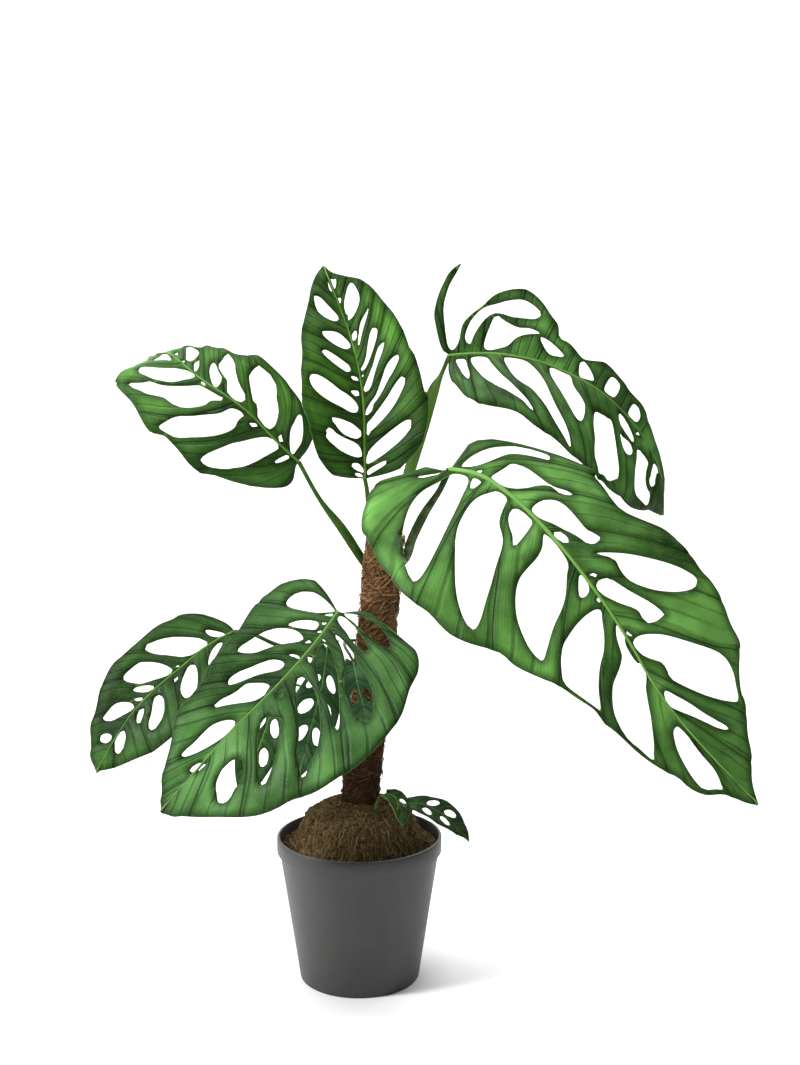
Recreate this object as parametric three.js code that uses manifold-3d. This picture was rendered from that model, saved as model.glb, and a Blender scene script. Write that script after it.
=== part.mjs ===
// Potted Monstera epipremnoides: eleven perforated leaves on petioles, one climbing stem,
// a coir pole on a wooden stake, root ball and nursery pot.
// Millimetres, Z up, X to the right of the front view, Y away from it.
// The origin is the centre of the pot's underside.
import * as THREE from "three";
import Module from "manifold-3d";

const wasm = await Module();
wasm.setup();
const { Manifold, Mesh } = wasm;

// Driving dimensions of the pot
const POT_HEIGHT = 150;
const POT_TOP_RADIUS = 85;
const POT_FOOT_RADIUS = 62;
const POT_WALL = 2;
const POT_FLOOR = 2.5;
const RIM_HEIGHT = 16;
const RIM_OVERHANG = 3;
const DRAIN_HOLES = 8;
const DRAIN_HOLE_RADIUS = 5;
const DRAIN_CIRCLE = 42;

// Driving dimensions of the root ball
const SOIL_LEVEL = 141;
const MOUND_RADIUS = 63;
const MOUND_TOP = 186;

// Driving dimensions of the pole, which leans to the right
const POLE_FOOT = [-12.5, 0, 60];
const POLE_TOP = [27.5, 0, 458];
const POLE_RADIUS = 19;
const STAKE_RADIUS = 7;
const STAKE_TOP = 6;

// Driving dimensions of the stem and leaves
const STEM_RADIUS = 8;
const BLADE = 0.8;
const SEAT = 0.3;
const RIB_STEP = 16;
const MARGIN_STEP = 32;
const TIP_CUT = 0.06;
const LEAST_BEND = 0.85;

// Course of the stem, behind the pole
const STEM = [
  [-16, 27, 100], [-11, 28, 160], [-2, 29, 240], [8, 29, 320], [17, 29, 400], [24, 28, 448], [27, 26, 466],
];

// Arithmetic on points
const add = (a, b, k = 1) => [a[0] + b[0] * k, a[1] + b[1] * k, a[2] + b[2] * k];
const dot = (a, b) => a[0] * b[0] + a[1] * b[1] + a[2] * b[2];
const cross = (a, b) => [a[1] * b[2] - a[2] * b[1], a[2] * b[0] - a[0] * b[2], a[0] * b[1] - a[1] * b[0]];
const unit = (a) => add([0, 0, 0], a, 1 / Math.hypot(...a));
const clamp = (v, low, high) => Math.min(Math.max(v, low), high);

// Smooth curve through rows of numbers, t counted in rows
function spline(rows, t) {
  const last = rows.length - 1;
  const i = clamp(Math.floor(t), 0, last - 1);
  const f = t - i;
  return rows[0].map((_, k) => {
    const p1 = rows[i][k];
    const p2 = rows[i + 1][k];
    const p0 = i > 0 ? rows[i - 1][k] : 2 * p1 - p2;
    const p3 = i + 2 <= last ? rows[i + 2][k] : 2 * p2 - p1;
    const a = 2 * p0 - 5 * p1 + 4 * p2 - p3;
    const b = 3 * p1 - p0 - 3 * p2 + p3;
    return 0.5 * (2 * p1 + (p2 - p0) * f + a * f * f + b * f * f * f);
  });
}

// Value of a short list read along 0 to 1
function along(list, u) {
  const t = clamp(u, 0, 1) * (list.length - 1);
  const i = Math.min(Math.floor(t), list.length - 2);
  return list[i] + (list[i + 1] - list[i]) * (t - i);
}

// Closed body from points and triangles
function solid(points, triangles) {
  const mesh = new Mesh({
    numProp: 3,
    vertProperties: Float32Array.from(points.flat()),
    triVerts: Uint32Array.from(triangles.flat()),
  });
  return new Manifold(mesh);
}

// Body between rings of equal count, each end closed by a fan
function loft(rings) {
  const n = rings[0].length;
  const points = rings.flat();
  const triangles = [];
  for (let r = 0; r + 1 < rings.length; r += 1) {
    for (let k = 0; k < n; k += 1) {
      const a = r * n + k;
      const b = r * n + ((k + 1) % n);
      triangles.push([a, b, b + n], [a, b + n, a + n]);
    }
  }
  const top = (rings.length - 1) * n;
  for (let k = 1; k + 1 < n; k += 1) {
    triangles.push([0, k + 1, k], [top, top + k, top + k + 1]);
  }
  return solid(points, triangles);
}

// Round or oval rod along a course; sizes are rows of [across, through] read along it
function rod(course, sizes, sides, rings, acrossHint) {
  const loops = [];
  const last = course.length - 1;
  let across = acrossHint;
  for (let r = 0; r <= rings; r += 1) {
    const t = (r / rings) * last;
    const here = spline(course, t);
    const near = spline(course, Math.max(t - 0.02, 0));
    const far = spline(course, Math.min(t + 0.02, last));
    const ahead = unit(add(far, near, -1));
    across = unit(add(across, ahead, -dot(across, ahead)));
    const through = cross(ahead, across);
    const size = spline(sizes, (r / rings) * (sizes.length - 1));
    const loop = [];
    for (let k = 0; k < sides; k += 1) {
      const a = (2 * Math.PI * k) / sides;
      loop.push(add(add(here, across, size[0] * Math.cos(a)), through, size[1] * Math.sin(a)));
    }
    loops.push(loop);
  }
  return loft(loops);
}

// Body of revolution about Z from a [radius, height] outline that starts and ends on the axis
function turned(outline, sides, centre = [0, 0, 0]) {
  const rim = outline.slice(1, -1);
  const n = rim.length;
  const points = [];
  for (let s = 0; s < sides; s += 1) {
    const a = (2 * Math.PI * s) / sides;
    rim.forEach(([r, z]) => {
      points.push([centre[0] + r * Math.cos(a), centre[1] + r * Math.sin(a), centre[2] + z]);
    });
  }
  points.push([centre[0], centre[1], centre[2] + outline[0][1]]);
  points.push([centre[0], centre[1], centre[2] + outline.at(-1)[1]]);
  const under = sides * n;
  const triangles = [];
  for (let s = 0; s < sides; s += 1) {
    const here = s * n;
    const next = ((s + 1) % sides) * n;
    triangles.push([under, next, here], [under + 1, here + n - 1, next + n - 1]);
    for (let k = 0; k + 1 < n; k += 1) {
      triangles.push([here + k, next + k, next + k + 1], [here + k, next + k + 1, here + k + 1]);
    }
  }
  return solid(points, triangles);
}

// The midrib of a leaf as a measured curve with a facing direction along it
function midribOf(leaf) {
  const steps = 160;
  const points = [];
  const arc = [0];
  for (let i = 0; i <= steps; i += 1) {
    points.push(spline(leaf.midrib, (i / steps) * (leaf.midrib.length - 1)));
    if (i > 0) arc.push(arc[i - 1] + Math.hypot(...add(points[i], points[i - 1], -1)));
  }
  const length = arc[steps];
  return {
    length,
    frame(x) {
      const along0 = clamp(x, 0, length);
      let i = arc.findIndex((v) => v > along0) - 1;
      if (i < 0) i = steps - 1;
      const f = (along0 - arc[i]) / (arc[i + 1] - arc[i]);
      const slope = (k) => unit(add(points[Math.min(k + 1, steps)], points[Math.max(k - 1, 0)], -1));
      const ahead = unit(add(add([0, 0, 0], slope(i), 1 - f), slope(i + 1), f));
      const here = add(add(points[i], add(points[i + 1], points[i], -1), f), ahead, x - along0);
      const facing = spline(leaf.face, (along0 / length) * (leaf.face.length - 1));
      const up = unit(add(facing, ahead, -dot(facing, ahead)));
      return { here, ahead, up, side: cross(ahead, up) };
    },
  };
}

// Point in space of the flat blade's point: x along the midrib, y across it, right side positive
function onBlade(leaf, rib, x, y) {
  const { here, up, side } = rib.frame(x);
  const sign = y >= 0 ? 1 : -1;
  const half = y >= 0 ? leaf.right : leaf.left;
  const u = x / rib.length;
  const lift = (along(half.lift, u) * Math.PI) / 180;
  const curl = (along(half.curl, u) * Math.PI) / 18000 || 1e-6;
  const end = lift - curl * Math.abs(y);
  const out = (Math.sin(lift) - Math.sin(end)) / curl;
  const rise = (Math.cos(end) - Math.cos(lift)) / curl;
  return add(add(here, side, sign * out), up, rise);
}

// Same point moved off the blade along its normal
function offBlade(leaf, rib, x, y, off) {
  const e = 0.4;
  const point = onBlade(leaf, rib, x, y);
  const dx = add(onBlade(leaf, rib, x + e, y), onBlade(leaf, rib, x - e, y), -1);
  const dy = add(onBlade(leaf, rib, x, y + e), onBlade(leaf, rib, x, y - e), -1);
  return add(point, unit(cross(dx, dy)), off);
}

// Flat point of a half blade: v counts lateral veins from the base,
// q is the share of the way out along the vein
function onVein(half, v, q) {
  const [foot, endX, endY] = spline(half.veins, v);
  const bend = half.bow * Math.hypot(endX - foot, endY);
  const midX = (foot + endX) / 2 - bend;
  const x = (1 - q) * (1 - q) * foot + 2 * q * (1 - q) * midX + q * q * endX;
  return [x, q * (1 - q) * endY + q * q * endY];
}

// The points of an outline that stand out from the line between their neighbours, none far apart
function telling(half, loop) {
  const kept = [loop[0]];
  for (let k = 1; k + 1 < loop.length; k += 1) {
    const [before, here, after] = [kept.at(-1), loop[k], loop[k + 1]].map(([v, q]) => onVein(half, v, q));
    const [dx, dy] = [after[0] - before[0], after[1] - before[1]];
    const bend = Math.abs(dx * (here[1] - before[1]) - dy * (here[0] - before[0])) / Math.hypot(dx, dy);
    if (bend > LEAST_BEND || Math.hypot(dx, dy) > MARGIN_STEP) kept.push(loop[k]);
  }
  kept.push(loop.at(-1));
  return kept;
}

// Swaps diagonals between neighbouring flat triangles until none is longer than it need be
function evened(points, triangles) {
  const corner = (at, p, q) => {
    const [a, b] = [p, q].map((i) => Math.atan2(points[i][1] - points[at][1], points[i][0] - points[at][0]));
    const turn = Math.abs(a - b);
    return Math.min(turn, 2 * Math.PI - turn);
  };
  for (let pass = 0; pass < 60; pass += 1) {
    const owner = new Map();
    triangles.forEach(([a, b, c], t) => {
      owner.set(`${a},${b}`, [t, c, a, b]).set(`${b},${c}`, [t, a, b, c]).set(`${c},${a}`, [t, b, c, a]);
    });
    const touched = new Set();
    for (const [t, o, m, n] of owner.values()) {
      const [s, p] = owner.get(`${n},${m}`) ?? [];
      if (s === undefined || touched.has(t) || touched.has(s)) continue;
      if (corner(o, m, n) + corner(p, m, n) < Math.PI + 1e-4) continue;
      triangles[t] = [o, m, p];
      triangles[s] = [p, n, o];
      touched.add(t).add(s);
    }
    if (touched.size === 0) break;
  }
}

// Half of a blade as a thin closed sheet with its windows open, both faces split alike
function halfBlade(leaf, rib, sign) {
  const half = sign > 0 ? leaf.right : leaf.left;
  const last = half.veins.length - 1 - TIP_CUT;
  const parts = Math.ceil(rib.length / RIB_STEP);
  const centre = [[0, 0]];
  for (let i = 1; i <= parts; i += 1) {
    const v = (last * i) / parts;
    if (onVein(half, v, 0)[0] > onVein(half, ...centre.at(-1))[0] + RIB_STEP / 4) centre.push([v, 0]);
  }
  const margin = telling(half, [...half.margin, [last, half.margin.at(-1)[1]]]);
  const outline = [...centre, ...margin.reverse()];
  const windows = half.windows.map((loop) => telling(half, loop));
  const flat = [outline, ...windows].flat();
  const vectors = (loop) => loop.map(([v, q]) => {
    const [x, y] = onVein(half, v, q);
    return new THREE.Vector2(x + 0.1 * Math.cos(0.3 * y), y + 0.1 * Math.cos(0.2 * x));
  });
  const laid = vectors(flat);
  const triangles = THREE.ShapeUtils.triangulateShape(vectors(outline), windows.map(vectors))
    .map(([a, b, c]) => (THREE.ShapeUtils.area([laid[a], laid[b], laid[c]]) > 0 ? [a, b, c] : [a, c, b]));
  evened(flat.map(([v, q]) => onVein(half, v, q)), triangles);
  const count = flat.length;
  const points = [];
  for (const off of [BLADE / 2, -BLADE / 2]) {
    for (const [v, q] of flat) {
      const [x, y] = onVein(half, v, q);
      points.push(offBlade(leaf, rib, x, sign * (y + (q === 0 ? 0.2 : 0)), off));
    }
  }
  const faces = [];
  const edges = new Map();
  for (const [a, b, c] of triangles) {
    faces.push([a, b, c], [a + count, c + count, b + count]);
    [[a, b], [b, c], [c, a]].forEach(([m, n]) => {
      if (edges.has(`${n},${m}`)) edges.delete(`${n},${m}`);
      else edges.set(`${m},${n}`, [m, n]);
    });
  }
  for (const [m, n] of edges.values()) faces.push([m, n + count, n], [m, m + count, n + count]);
  const body = solid(points, faces);
  return body.volume() > 0 ? body : solid(points, faces.map(([a, b, c]) => [a, c, b]));
}

// Petiole of a leaf, or the hole that clears it
function petioleRod(leaf, clear) {
  const rib = midribOf(leaf);
  const { here, up, side } = rib.frame(0);
  const course = [add(here, up, -0.2), ...leaf.petiole.slice(0, -1), add(leaf.petiole.at(-1), [0, 0, -clear])];
  const sizes = leaf.petioleSizes.map(([a, b]) => [a + clear, b + clear]);
  return rod(course, sizes, 6, leaf.petiole.length * 2, leaf.wings ?? side);
}

// One leaf: petiole with its winged sheath, midrib and both half blades
function leafBody(leaf) {
  const rib = midribOf(leaf);
  const ribs = [];
  const rings = Math.max(6, Math.round(rib.length / 18));
  for (let i = 0; i <= rings; i += 1) {
    const { here, up } = rib.frame(((rib.length - 1) * i) / rings);
    ribs.push(add(here, up, -0.2));
  }
  const thick = leaf.rib;
  const side = rib.frame(0).side;
  const midrib = rod(ribs, [[thick, thick], [thick * 0.75, thick * 0.7], [1.4, 1.4]], 5, rings, side);
  return Manifold.union([halfBlade(leaf, rib, 1), halfBlade(leaf, rib, -1), midrib, petioleRod(leaf, 0)]);
}

// A young leaf of plain outline: rows and windows follow from its length, width and count of cells
function youngLeaf({ midrib, face, width, cells, petiole, petioleSizes, lift = 14 }) {
  const span = midribOf({ midrib, face }).length;
  const veins = [[0, -0.07 * span, width * 0.45]];
  for (let k = 1; k <= cells; k += 1) {
    const u = (k - 0.35) / (cells + 0.4);
    veins.push([span * u * 0.86, span * (0.1 + 0.9 * u), width * Math.sin(Math.PI * u ** 0.8) ** 0.8]);
  }
  veins.push([span, span, 0]);
  const margin = Array.from({ length: 2 * cells + 1 }, (_, k) => [k / 2, 1]);
  const windows = [];
  for (let k = 1; k < cells; k += 1) windows.push(roundWindow(k + 0.5, 0.27, 0.14, 0.72));
  const half = { bow: 0.1, lift: [lift, lift, lift], curl: [40, 40, 30], veins, margin, windows };
  return { midrib, face, right: half, left: half, rib: 1.3, petiole, petioleSizes };
}

// Window of a young leaf: an oval around vein number v, wide to each side, from share q0 to q1
function roundWindow(v, wide, q0, q1) {
  return Array.from({ length: 6 }, (_, k) => {
    const a = (Math.PI * (k + 0.5)) / 3;
    return [v + wide * Math.cos(a), (q0 + q1) / 2 + ((q1 - q0) / 2) * Math.sin(a)];
  });
}

const THIN = [[1.4, 1.4], [1.5, 1.5], [1.8, 1.8], [2.2, 2.2]];

const LEAVES = {
  // upper left, facing the front, its tip folded back
  leaf_a: {
    midrib: [
      [-58, -20, 537], [-82, -38, 562], [-102, -50, 585], [-126, -56, 604], [-149, -52, 619], [-170, -40, 635],
      [-184, -24, 643], [-197, -7, 643],
    ],
    face: [[-0.3, -0.85, 0.45], [-0.1, -0.85, 0.5], [0, -0.75, 0.65], [0, -0.5, 0.9]],
    rib: 1.9,
    right: {
      bow: 0.12,
      lift: [16, 14, 10],
      curl: [20, 18, 30],
      veins: [
        [0, 8, 29], [20, 60, 44], [62, 107, 46], [103, 145, 37], [125, 163, 29], [153, 190, 18],
        [211, 211, 0],
      ],
      margin: [
        [0, 1.1], [0.6, 1.12], [0.8, 1.07], [1, 1.05], [1.1, 1.08], [1.5, 1.11], [1.7, 1.09], [1.85, 1.05],
        [2, 1], [2.2, 0.96], [2.4, 0.94], [2.6, 0.98], [2.9, 1.01], [3.3, 1], [3.9, 0.985], [4.3, 0.95],
        [4.6, 0.95], [4.85, 0.93], [5.3, 0.88], [5.6, 0.85],
      ],
      windows: [
        [
          [0.5, 0.92], [0.42, 0.8], [0.37, 0.65], [0.35, 0.45], [0.4, 0.3], [0.47, 0.14], [0.52, 0.05],
          [0.65, 0.033], [0.78, 0.08], [0.88, 0.2], [0.93, 0.35], [0.9, 0.47], [0.82, 0.6], [0.73, 0.75],
          [0.62, 0.87],
        ],
        [[1.14, 0.1], [1.2, 0.17], [1.28, 0.16], [1.32, 0.1], [1.27, 0.05], [1.2, 0.04]],
        [
          [1.45, 0.9], [1.6, 0.91], [1.72, 0.93], [1.82, 0.88], [1.95, 0.8], [2.05, 0.72], [2.15, 0.62],
          [2.17, 0.5], [2.17, 0.38], [2.15, 0.27], [2.05, 0.25], [2.02, 0.15], [2, 0.07], [1.85, 0.05],
          [1.7, 0.05], [1.58, 0.1], [1.5, 0.2], [1.47, 0.35], [1.47, 0.5], [1.52, 0.6], [1.48, 0.72],
          [1.44, 0.82],
        ],
        [
          [2.6, 0.89], [2.52, 0.84], [2.46, 0.76], [2.5, 0.65], [2.52, 0.52], [2.48, 0.4], [2.4, 0.3],
          [2.34, 0.24], [2.4, 0.15], [2.48, 0.09], [2.6, 0.05], [2.75, 0.05], [2.88, 0.1], [2.87, 0.2],
          [2.83, 0.34], [2.9, 0.4], [2.97, 0.46], [3.06, 0.56], [3.06, 0.6], [2.98, 0.66], [2.88, 0.72],
          [2.78, 0.8], [2.7, 0.87],
        ],
        [
          [3.2, 0.6], [3.35, 0.6], [3.45, 0.58], [3.55, 0.5], [3.65, 0.4], [3.68, 0.3], [3.66, 0.2],
          [3.6, 0.1], [3.5, 0.04], [3.38, 0.038], [3.28, 0.08], [3.15, 0.18], [3.05, 0.28], [3.01, 0.38],
          [3.08, 0.42], [3.13, 0.48], [3.17, 0.55],
        ],
        [
          [4.25, 0.52], [4.3, 0.48], [4.42, 0.42], [4.52, 0.35], [4.56, 0.25], [4.58, 0.15], [4.57, 0.1],
          [4.5, 0.13], [4.4, 0.2], [4.32, 0.3], [4.27, 0.4],
        ],
        [
          [4.18, 0.78], [4.3, 0.82], [4.45, 0.87], [4.55, 0.89], [4.7, 0.88], [4.8, 0.83], [4.83, 0.75],
          [4.85, 0.6], [4.88, 0.45], [4.9, 0.35], [4.85, 0.3], [4.75, 0.32], [4.6, 0.4], [4.5, 0.47],
          [4.4, 0.55], [4.3, 0.64], [4.22, 0.71],
        ],
        [[4.98, 0.27], [5.03, 0.22], [5.08, 0.14], [5.1, 0.08], [5.05, 0.1], [5, 0.18]],
        [[5.22, 0.52], [5.27, 0.5], [5.32, 0.4], [5.35, 0.3], [5.34, 0.2], [5.28, 0.24], [5.24, 0.34]],
      ],
    },
    left: {
      bow: 0.1,
      lift: [12, 10, 10],
      curl: [18, 22, 40],
      veins: [
        [0, -1, 32], [7, 87, 79], [54, 113, 72], [91, 143, 69], [128, 173, 63], [157, 188, 35],
        [211, 211, 0],
      ],
      margin: [
        [-0.07, 0.3], [-0.1, 0.65], [-0.02, 1], [0.2, 1.12], [0.5, 1.15], [0.73, 1.12], [0.85, 1.06],
        [1, 1.01], [1.2, 0.98], [1.5, 0.975],
        [1.9, 1.01], [2.28, 1], [2.33, 1.07], [2.5, 1.06], [2.8, 1.02], [3.1, 0.99], [3.4, 0.975],
        [3.9, 1.01], [4.05, 1.01], [4.2, 1.06], [4.35, 1.12], [5, 1.15], [5.3, 1.1], [5.4, 0.9],
        [5.6, 0.96], [5.8, 1],
      ],
      windows: [
        [
          [0.83, 0.83], [1, 0.845], [1.2, 0.86], [1.35, 0.87], [1.5, 0.83], [1.62, 0.76], [1.7, 0.65],
          [1.75, 0.5], [1.75, 0.35], [1.77, 0.2], [1.75, 0.08], [1.68, 0.02], [1.5, 0.02], [1.4, 0.06],
          [1.36, 0.15], [1.28, 0.27], [1.15, 0.4], [1, 0.52], [0.9, 0.64], [0.82, 0.74],
        ],
        [[0.97, 0.17], [1, 0.21], [1.08, 0.19], [1.15, 0.1], [1.17, 0.05], [1.1, 0.03], [1.02, 0.06]],
        [[2.05, 0.06], [2.08, 0.1], [2.18, 0.11], [2.22, 0.09], [2.15, 0.045], [2.08, 0.04]],
        [
          [2.25, 0.93], [2.4, 0.95], [2.52, 0.96], [2.62, 0.93], [2.73, 0.87], [2.85, 0.8], [2.95, 0.73],
          [2.99, 0.65], [2.95, 0.55], [2.92, 0.45], [2.87, 0.35], [2.85, 0.25], [2.88, 0.15], [2.85, 0.1],
          [2.72, 0.07], [2.52, 0.07], [2.48, 0.13], [2.42, 0.2], [2.3, 0.27], [2.22, 0.35], [2.18, 0.5],
          [2.19, 0.7], [2.2, 0.85],
        ],
        [
          [3.92, 0.88], [4, 0.88], [4.07, 0.85], [4.1, 0.78], [4.15, 0.7], [4.18, 0.65], [4.13, 0.6],
          [4.05, 0.54], [4, 0.45], [3.97, 0.35], [3.95, 0.25], [3.92, 0.15], [3.85, 0.1], [3.6, 0.08],
          [3.35, 0.07], [3.17, 0.055], [3.22, 0.12], [3.3, 0.18], [3.28, 0.24], [3.22, 0.32], [3.22, 0.45],
          [3.28, 0.55], [3.4, 0.59], [3.55, 0.6], [3.62, 0.66], [3.65, 0.73], [3.75, 0.78], [3.85, 0.83],
        ],
        [[3.77, 0.04], [3.85, 0.06], [3.93, 0.055], [3.97, 0.03], [3.88, 0.025]],
        [
          [4.6, 0.8], [4.8, 0.8], [4.82, 0.65], [4.83, 0.5], [4.85, 0.35], [4.83, 0.22], [4.75, 0.12],
          [4.62, 0.05], [4.45, 0.025], [4.28, 0.03], [4.22, 0.08], [4.2, 0.2], [4.15, 0.32], [4.15, 0.42],
          [4.22, 0.52], [4.3, 0.6], [4.4, 0.68], [4.5, 0.77],
        ],
        [
          [5.25, 0.6], [5.32, 0.65], [5.4, 0.58], [5.5, 0.48], [5.6, 0.35], [5.68, 0.2], [5.75, 0.146],
          [5.68, 0.114], [5.5, 0.08], [5.3, 0.12], [5.18, 0.17], [5.2, 0.3], [5.22, 0.45],
        ],
      ],
    },
    petiole: [[-38, -12, 499], [-17, 4, 468], [2, 19, 436], [19, 29, 410]],
    petioleSizes: [[2.2, 2.2], [2.4, 2.4], [4.6, 2.8], [4.6, 3], [4, 3.4]],
  },
  // upper centre, upright, folded like a shallow V
  leaf_b: {
    midrib: [
      [7, -8, 519], [7, -14, 551], [6, -14, 593], [1, -8, 629], [-8, 0, 662], [-18, 8, 689], [-35, 26, 732],
    ],
    face: [[0, -1, 0.05], [0.05, -1, 0.1], [0.1, -1, 0.4]],
    rib: 1.9,
    right: {
      bow: 0.06,
      lift: [24, 26, 20],
      curl: [10, 10, 20],
      veins: [
        [0, 14, 37], [7, 41, 61], [37, 76, 67], [60, 106, 62], [81, 132, 54], [99, 160, 45], [117, 177, 39],
        [149, 190, 31], [180, 205, 19], [226, 226, 0],
      ],
      margin: [
        [0, 1], [1.95, 1], [2.1, 0.98], [2.3, 0.96], [2.9, 0.97], [3.2, 0.985], [3.5, 0.96], [3.8, 0.98],
        [4.1, 1], [4.5, 1.01], [5.2, 0.99], [6, 1], [6.5, 1.015], [7, 1.03], [7.4, 1.02], [7.8, 0.99],
        [8.1, 0.93], [8.4, 0.84], [8.6, 0.75], [8.75, 0.65],
      ],
      windows: [
        [
          [0.62, 0.07], [0.75, 0.12], [0.88, 0.22], [0.98, 0.33], [1.07, 0.38], [1.14, 0.35], [1.16, 0.28],
          [1.13, 0.15], [1.05, 0.06], [0.9, 0.04],
        ],
        [
          [1.73, 0.745], [1.6, 0.68], [1.5, 0.55], [1.42, 0.38], [1.35, 0.2], [1.3, 0.08], [1.32, 0.03],
          [1.5, 0.03], [1.65, 0.06], [1.78, 0.15], [1.88, 0.28], [1.95, 0.42], [1.97, 0.58], [1.9, 0.7],
        ],
        [
          [2.98, 0.74], [2.85, 0.68], [2.72, 0.56], [2.6, 0.42], [2.5, 0.28], [2.38, 0.15], [2.33, 0.09],
          [2.18, 0.05], [2.2, 0.02], [2.4, 0.04], [2.72, 0.05], [2.82, 0.12], [2.95, 0.2], [3.05, 0.32],
          [3.12, 0.45], [3.18, 0.58], [3.15, 0.7],
        ],
        [
          [3.75, 0.77], [3.66, 0.73], [3.6, 0.62], [3.58, 0.5], [3.5, 0.38], [3.4, 0.27], [3.35, 0.17],
          [3.25, 0.17], [3.15, 0.12], [3.1, 0.06], [3.2, 0.021], [3.35, 0.05], [3.5, 0.12], [3.56, 0.22],
          [3.7, 0.3], [3.85, 0.38], [3.98, 0.46], [4.03, 0.55], [3.98, 0.65], [3.87, 0.73],
        ],
        [
          [4.57, 0.65], [4.52, 0.55], [4.5, 0.42], [4.42, 0.33], [4.28, 0.25], [4.15, 0.18], [4.1, 0.1],
          [4.2, 0.05], [4.38, 0.04], [4.52, 0.1], [4.62, 0.18], [4.7, 0.3], [4.78, 0.42], [4.8, 0.52],
          [4.7, 0.6],
        ],
        [[4.97, 0.08], [5.05, 0.085], [5.1, 0.06], [5.03, 0.04]],
        [
          [5.22, 0.66], [5.12, 0.6], [5.12, 0.4], [5.14, 0.2], [5.22, 0.1], [5.4, 0.05], [5.48, 0.06],
          [5.45, 0.15], [5.48, 0.24], [5.6, 0.32], [5.7, 0.42], [5.72, 0.52], [5.62, 0.59], [5.4, 0.63],
        ],
        [
          [6.22, 0.76], [6.3, 0.68], [6.42, 0.58], [6.52, 0.48], [6.56, 0.38], [6.5, 0.27], [6.42, 0.18],
          [6.3, 0.12], [6.28, 0.2], [6.32, 0.35], [6.3, 0.5], [6.25, 0.62],
        ],
        [
          [6.55, 0.15], [6.58, 0.2], [6.66, 0.22], [6.75, 0.18], [6.8, 0.1], [6.78, 0.04], [6.68, 0.038],
          [6.6, 0.08],
        ],
        [
          [7.62, 0.86], [7.45, 0.83], [7.25, 0.79], [7.08, 0.74], [6.98, 0.65], [6.98, 0.52], [7.03, 0.4],
          [7.1, 0.28], [7.2, 0.17], [7.28, 0.11], [7.38, 0.17], [7.55, 0.12], [7.65, 0.15], [7.75, 0.22],
          [7.82, 0.4], [7.85, 0.6], [7.82, 0.76], [7.75, 0.84],
        ],
        [[8.02, 0.22], [8.07, 0.15], [8.12, 0.076], [8.1, 0.075], [7.98, 0.067], [7.95, 0.08]],
        [
          [8.42, 0.54], [8.48, 0.45], [8.55, 0.3], [8.6, 0.164], [8.4, 0.109], [8.35, 0.15],
          [8.36, 0.35],
        ],
      ],
    },
    left: {
      bow: 0.06,
      lift: [26, 28, 20],
      curl: [10, 12, 20],
      veins: [
        [0, 6, 31], [18, 27, 50], [40, 53, 58], [63, 89, 65], [94, 132, 56], [124, 163, 46], [151, 187, 32],
        [184, 208, 16], [226, 226, 0],
      ],
      margin: [
        [0, 1.08], [0.3, 1.05], [0.6, 0.99], [0.9, 0.97], [1.3, 0.98], [1.7, 0.98], [2.7, 1], [2.9, 0.985],
        [3.3, 0.99], [3.6, 1.01], [4, 0.995], [4.5, 1.01], [5, 1.01], [5.3, 0.99], [5.7, 0.975],
        [6.1, 0.98], [6.4, 1.01], [6.8, 1.04], [7.2, 1.08], [7.6, 1.1], [7.9, 1.1],
      ],
      windows: [
        [
          [0.1, 0.07], [0.09, 0.15], [0.15, 0.22], [0.25, 0.28], [0.33, 0.25], [0.32, 0.17], [0.25, 0.09],
          [0.14, 0.06],
        ],
        [
          [0.36, 0.05], [0.42, 0.12], [0.52, 0.2], [0.65, 0.27], [0.78, 0.29], [0.88, 0.25], [0.9, 0.17],
          [0.85, 0.11], [0.7, 0.07], [0.5, 0.032],
        ],
        [
          [1.2, 0.1], [1.25, 0.22], [1.35, 0.34], [1.5, 0.48], [1.65, 0.58], [1.8, 0.67], [1.92, 0.7],
          [2.02, 0.67], [2.12, 0.68], [2.22, 0.65], [2.23, 0.58], [2.12, 0.52], [2.02, 0.42], [1.95, 0.32],
          [1.88, 0.22], [1.78, 0.13], [1.6, 0.08], [1.4, 0.06], [1.27, 0.06],
        ],
        [
          [2.02, 0.12], [2.03, 0.22], [2.1, 0.32], [2.18, 0.4], [2.3, 0.45], [2.45, 0.5], [2.55, 0.55],
          [2.63, 0.53], [2.67, 0.42], [2.65, 0.3], [2.6, 0.2], [2.5, 0.13], [2.38, 0.07], [2.2, 0.06],
          [2.07, 0.08],
        ],
        [
          [3.52, 0.87], [3.4, 0.86], [3.28, 0.8], [3.18, 0.68], [3.13, 0.52], [3.1, 0.35], [3.03, 0.22],
          [3.06, 0.13], [3.18, 0.09], [3.32, 0.1], [3.44, 0.16], [3.52, 0.27], [3.55, 0.4], [3.62, 0.52],
          [3.67, 0.65], [3.67, 0.77], [3.6, 0.85],
        ],
        [[3.57, 0.1], [3.6, 0.16], [3.66, 0.2], [3.72, 0.13], [3.75, 0.08], [3.67, 0.05]],
        [[4.06, 0.1], [4.09, 0.15], [4.14, 0.17], [4.19, 0.12], [4.19, 0.06], [4.13, 0.04]],
        [
          [4.22, 0.25], [4.24, 0.35], [4.3, 0.46], [4.37, 0.58], [4.46, 0.65], [4.53, 0.66], [4.62, 0.6],
          [4.62, 0.5], [4.58, 0.38], [4.53, 0.25], [4.48, 0.16], [4.38, 0.16], [4.28, 0.19],
        ],
        [
          [5.22, 0.65], [5.3, 0.63], [5.42, 0.53], [5.53, 0.42], [5.6, 0.3], [5.58, 0.18], [5.5, 0.1],
          [5.35, 0.06], [5.2, 0.1], [5.08, 0.2], [5.03, 0.35], [5.05, 0.48], [5.12, 0.6],
        ],
        [
          [6.42, 0.89], [6.5, 0.86], [6.57, 0.77], [6.58, 0.65], [6.53, 0.52], [6.48, 0.38], [6.42, 0.26],
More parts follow.
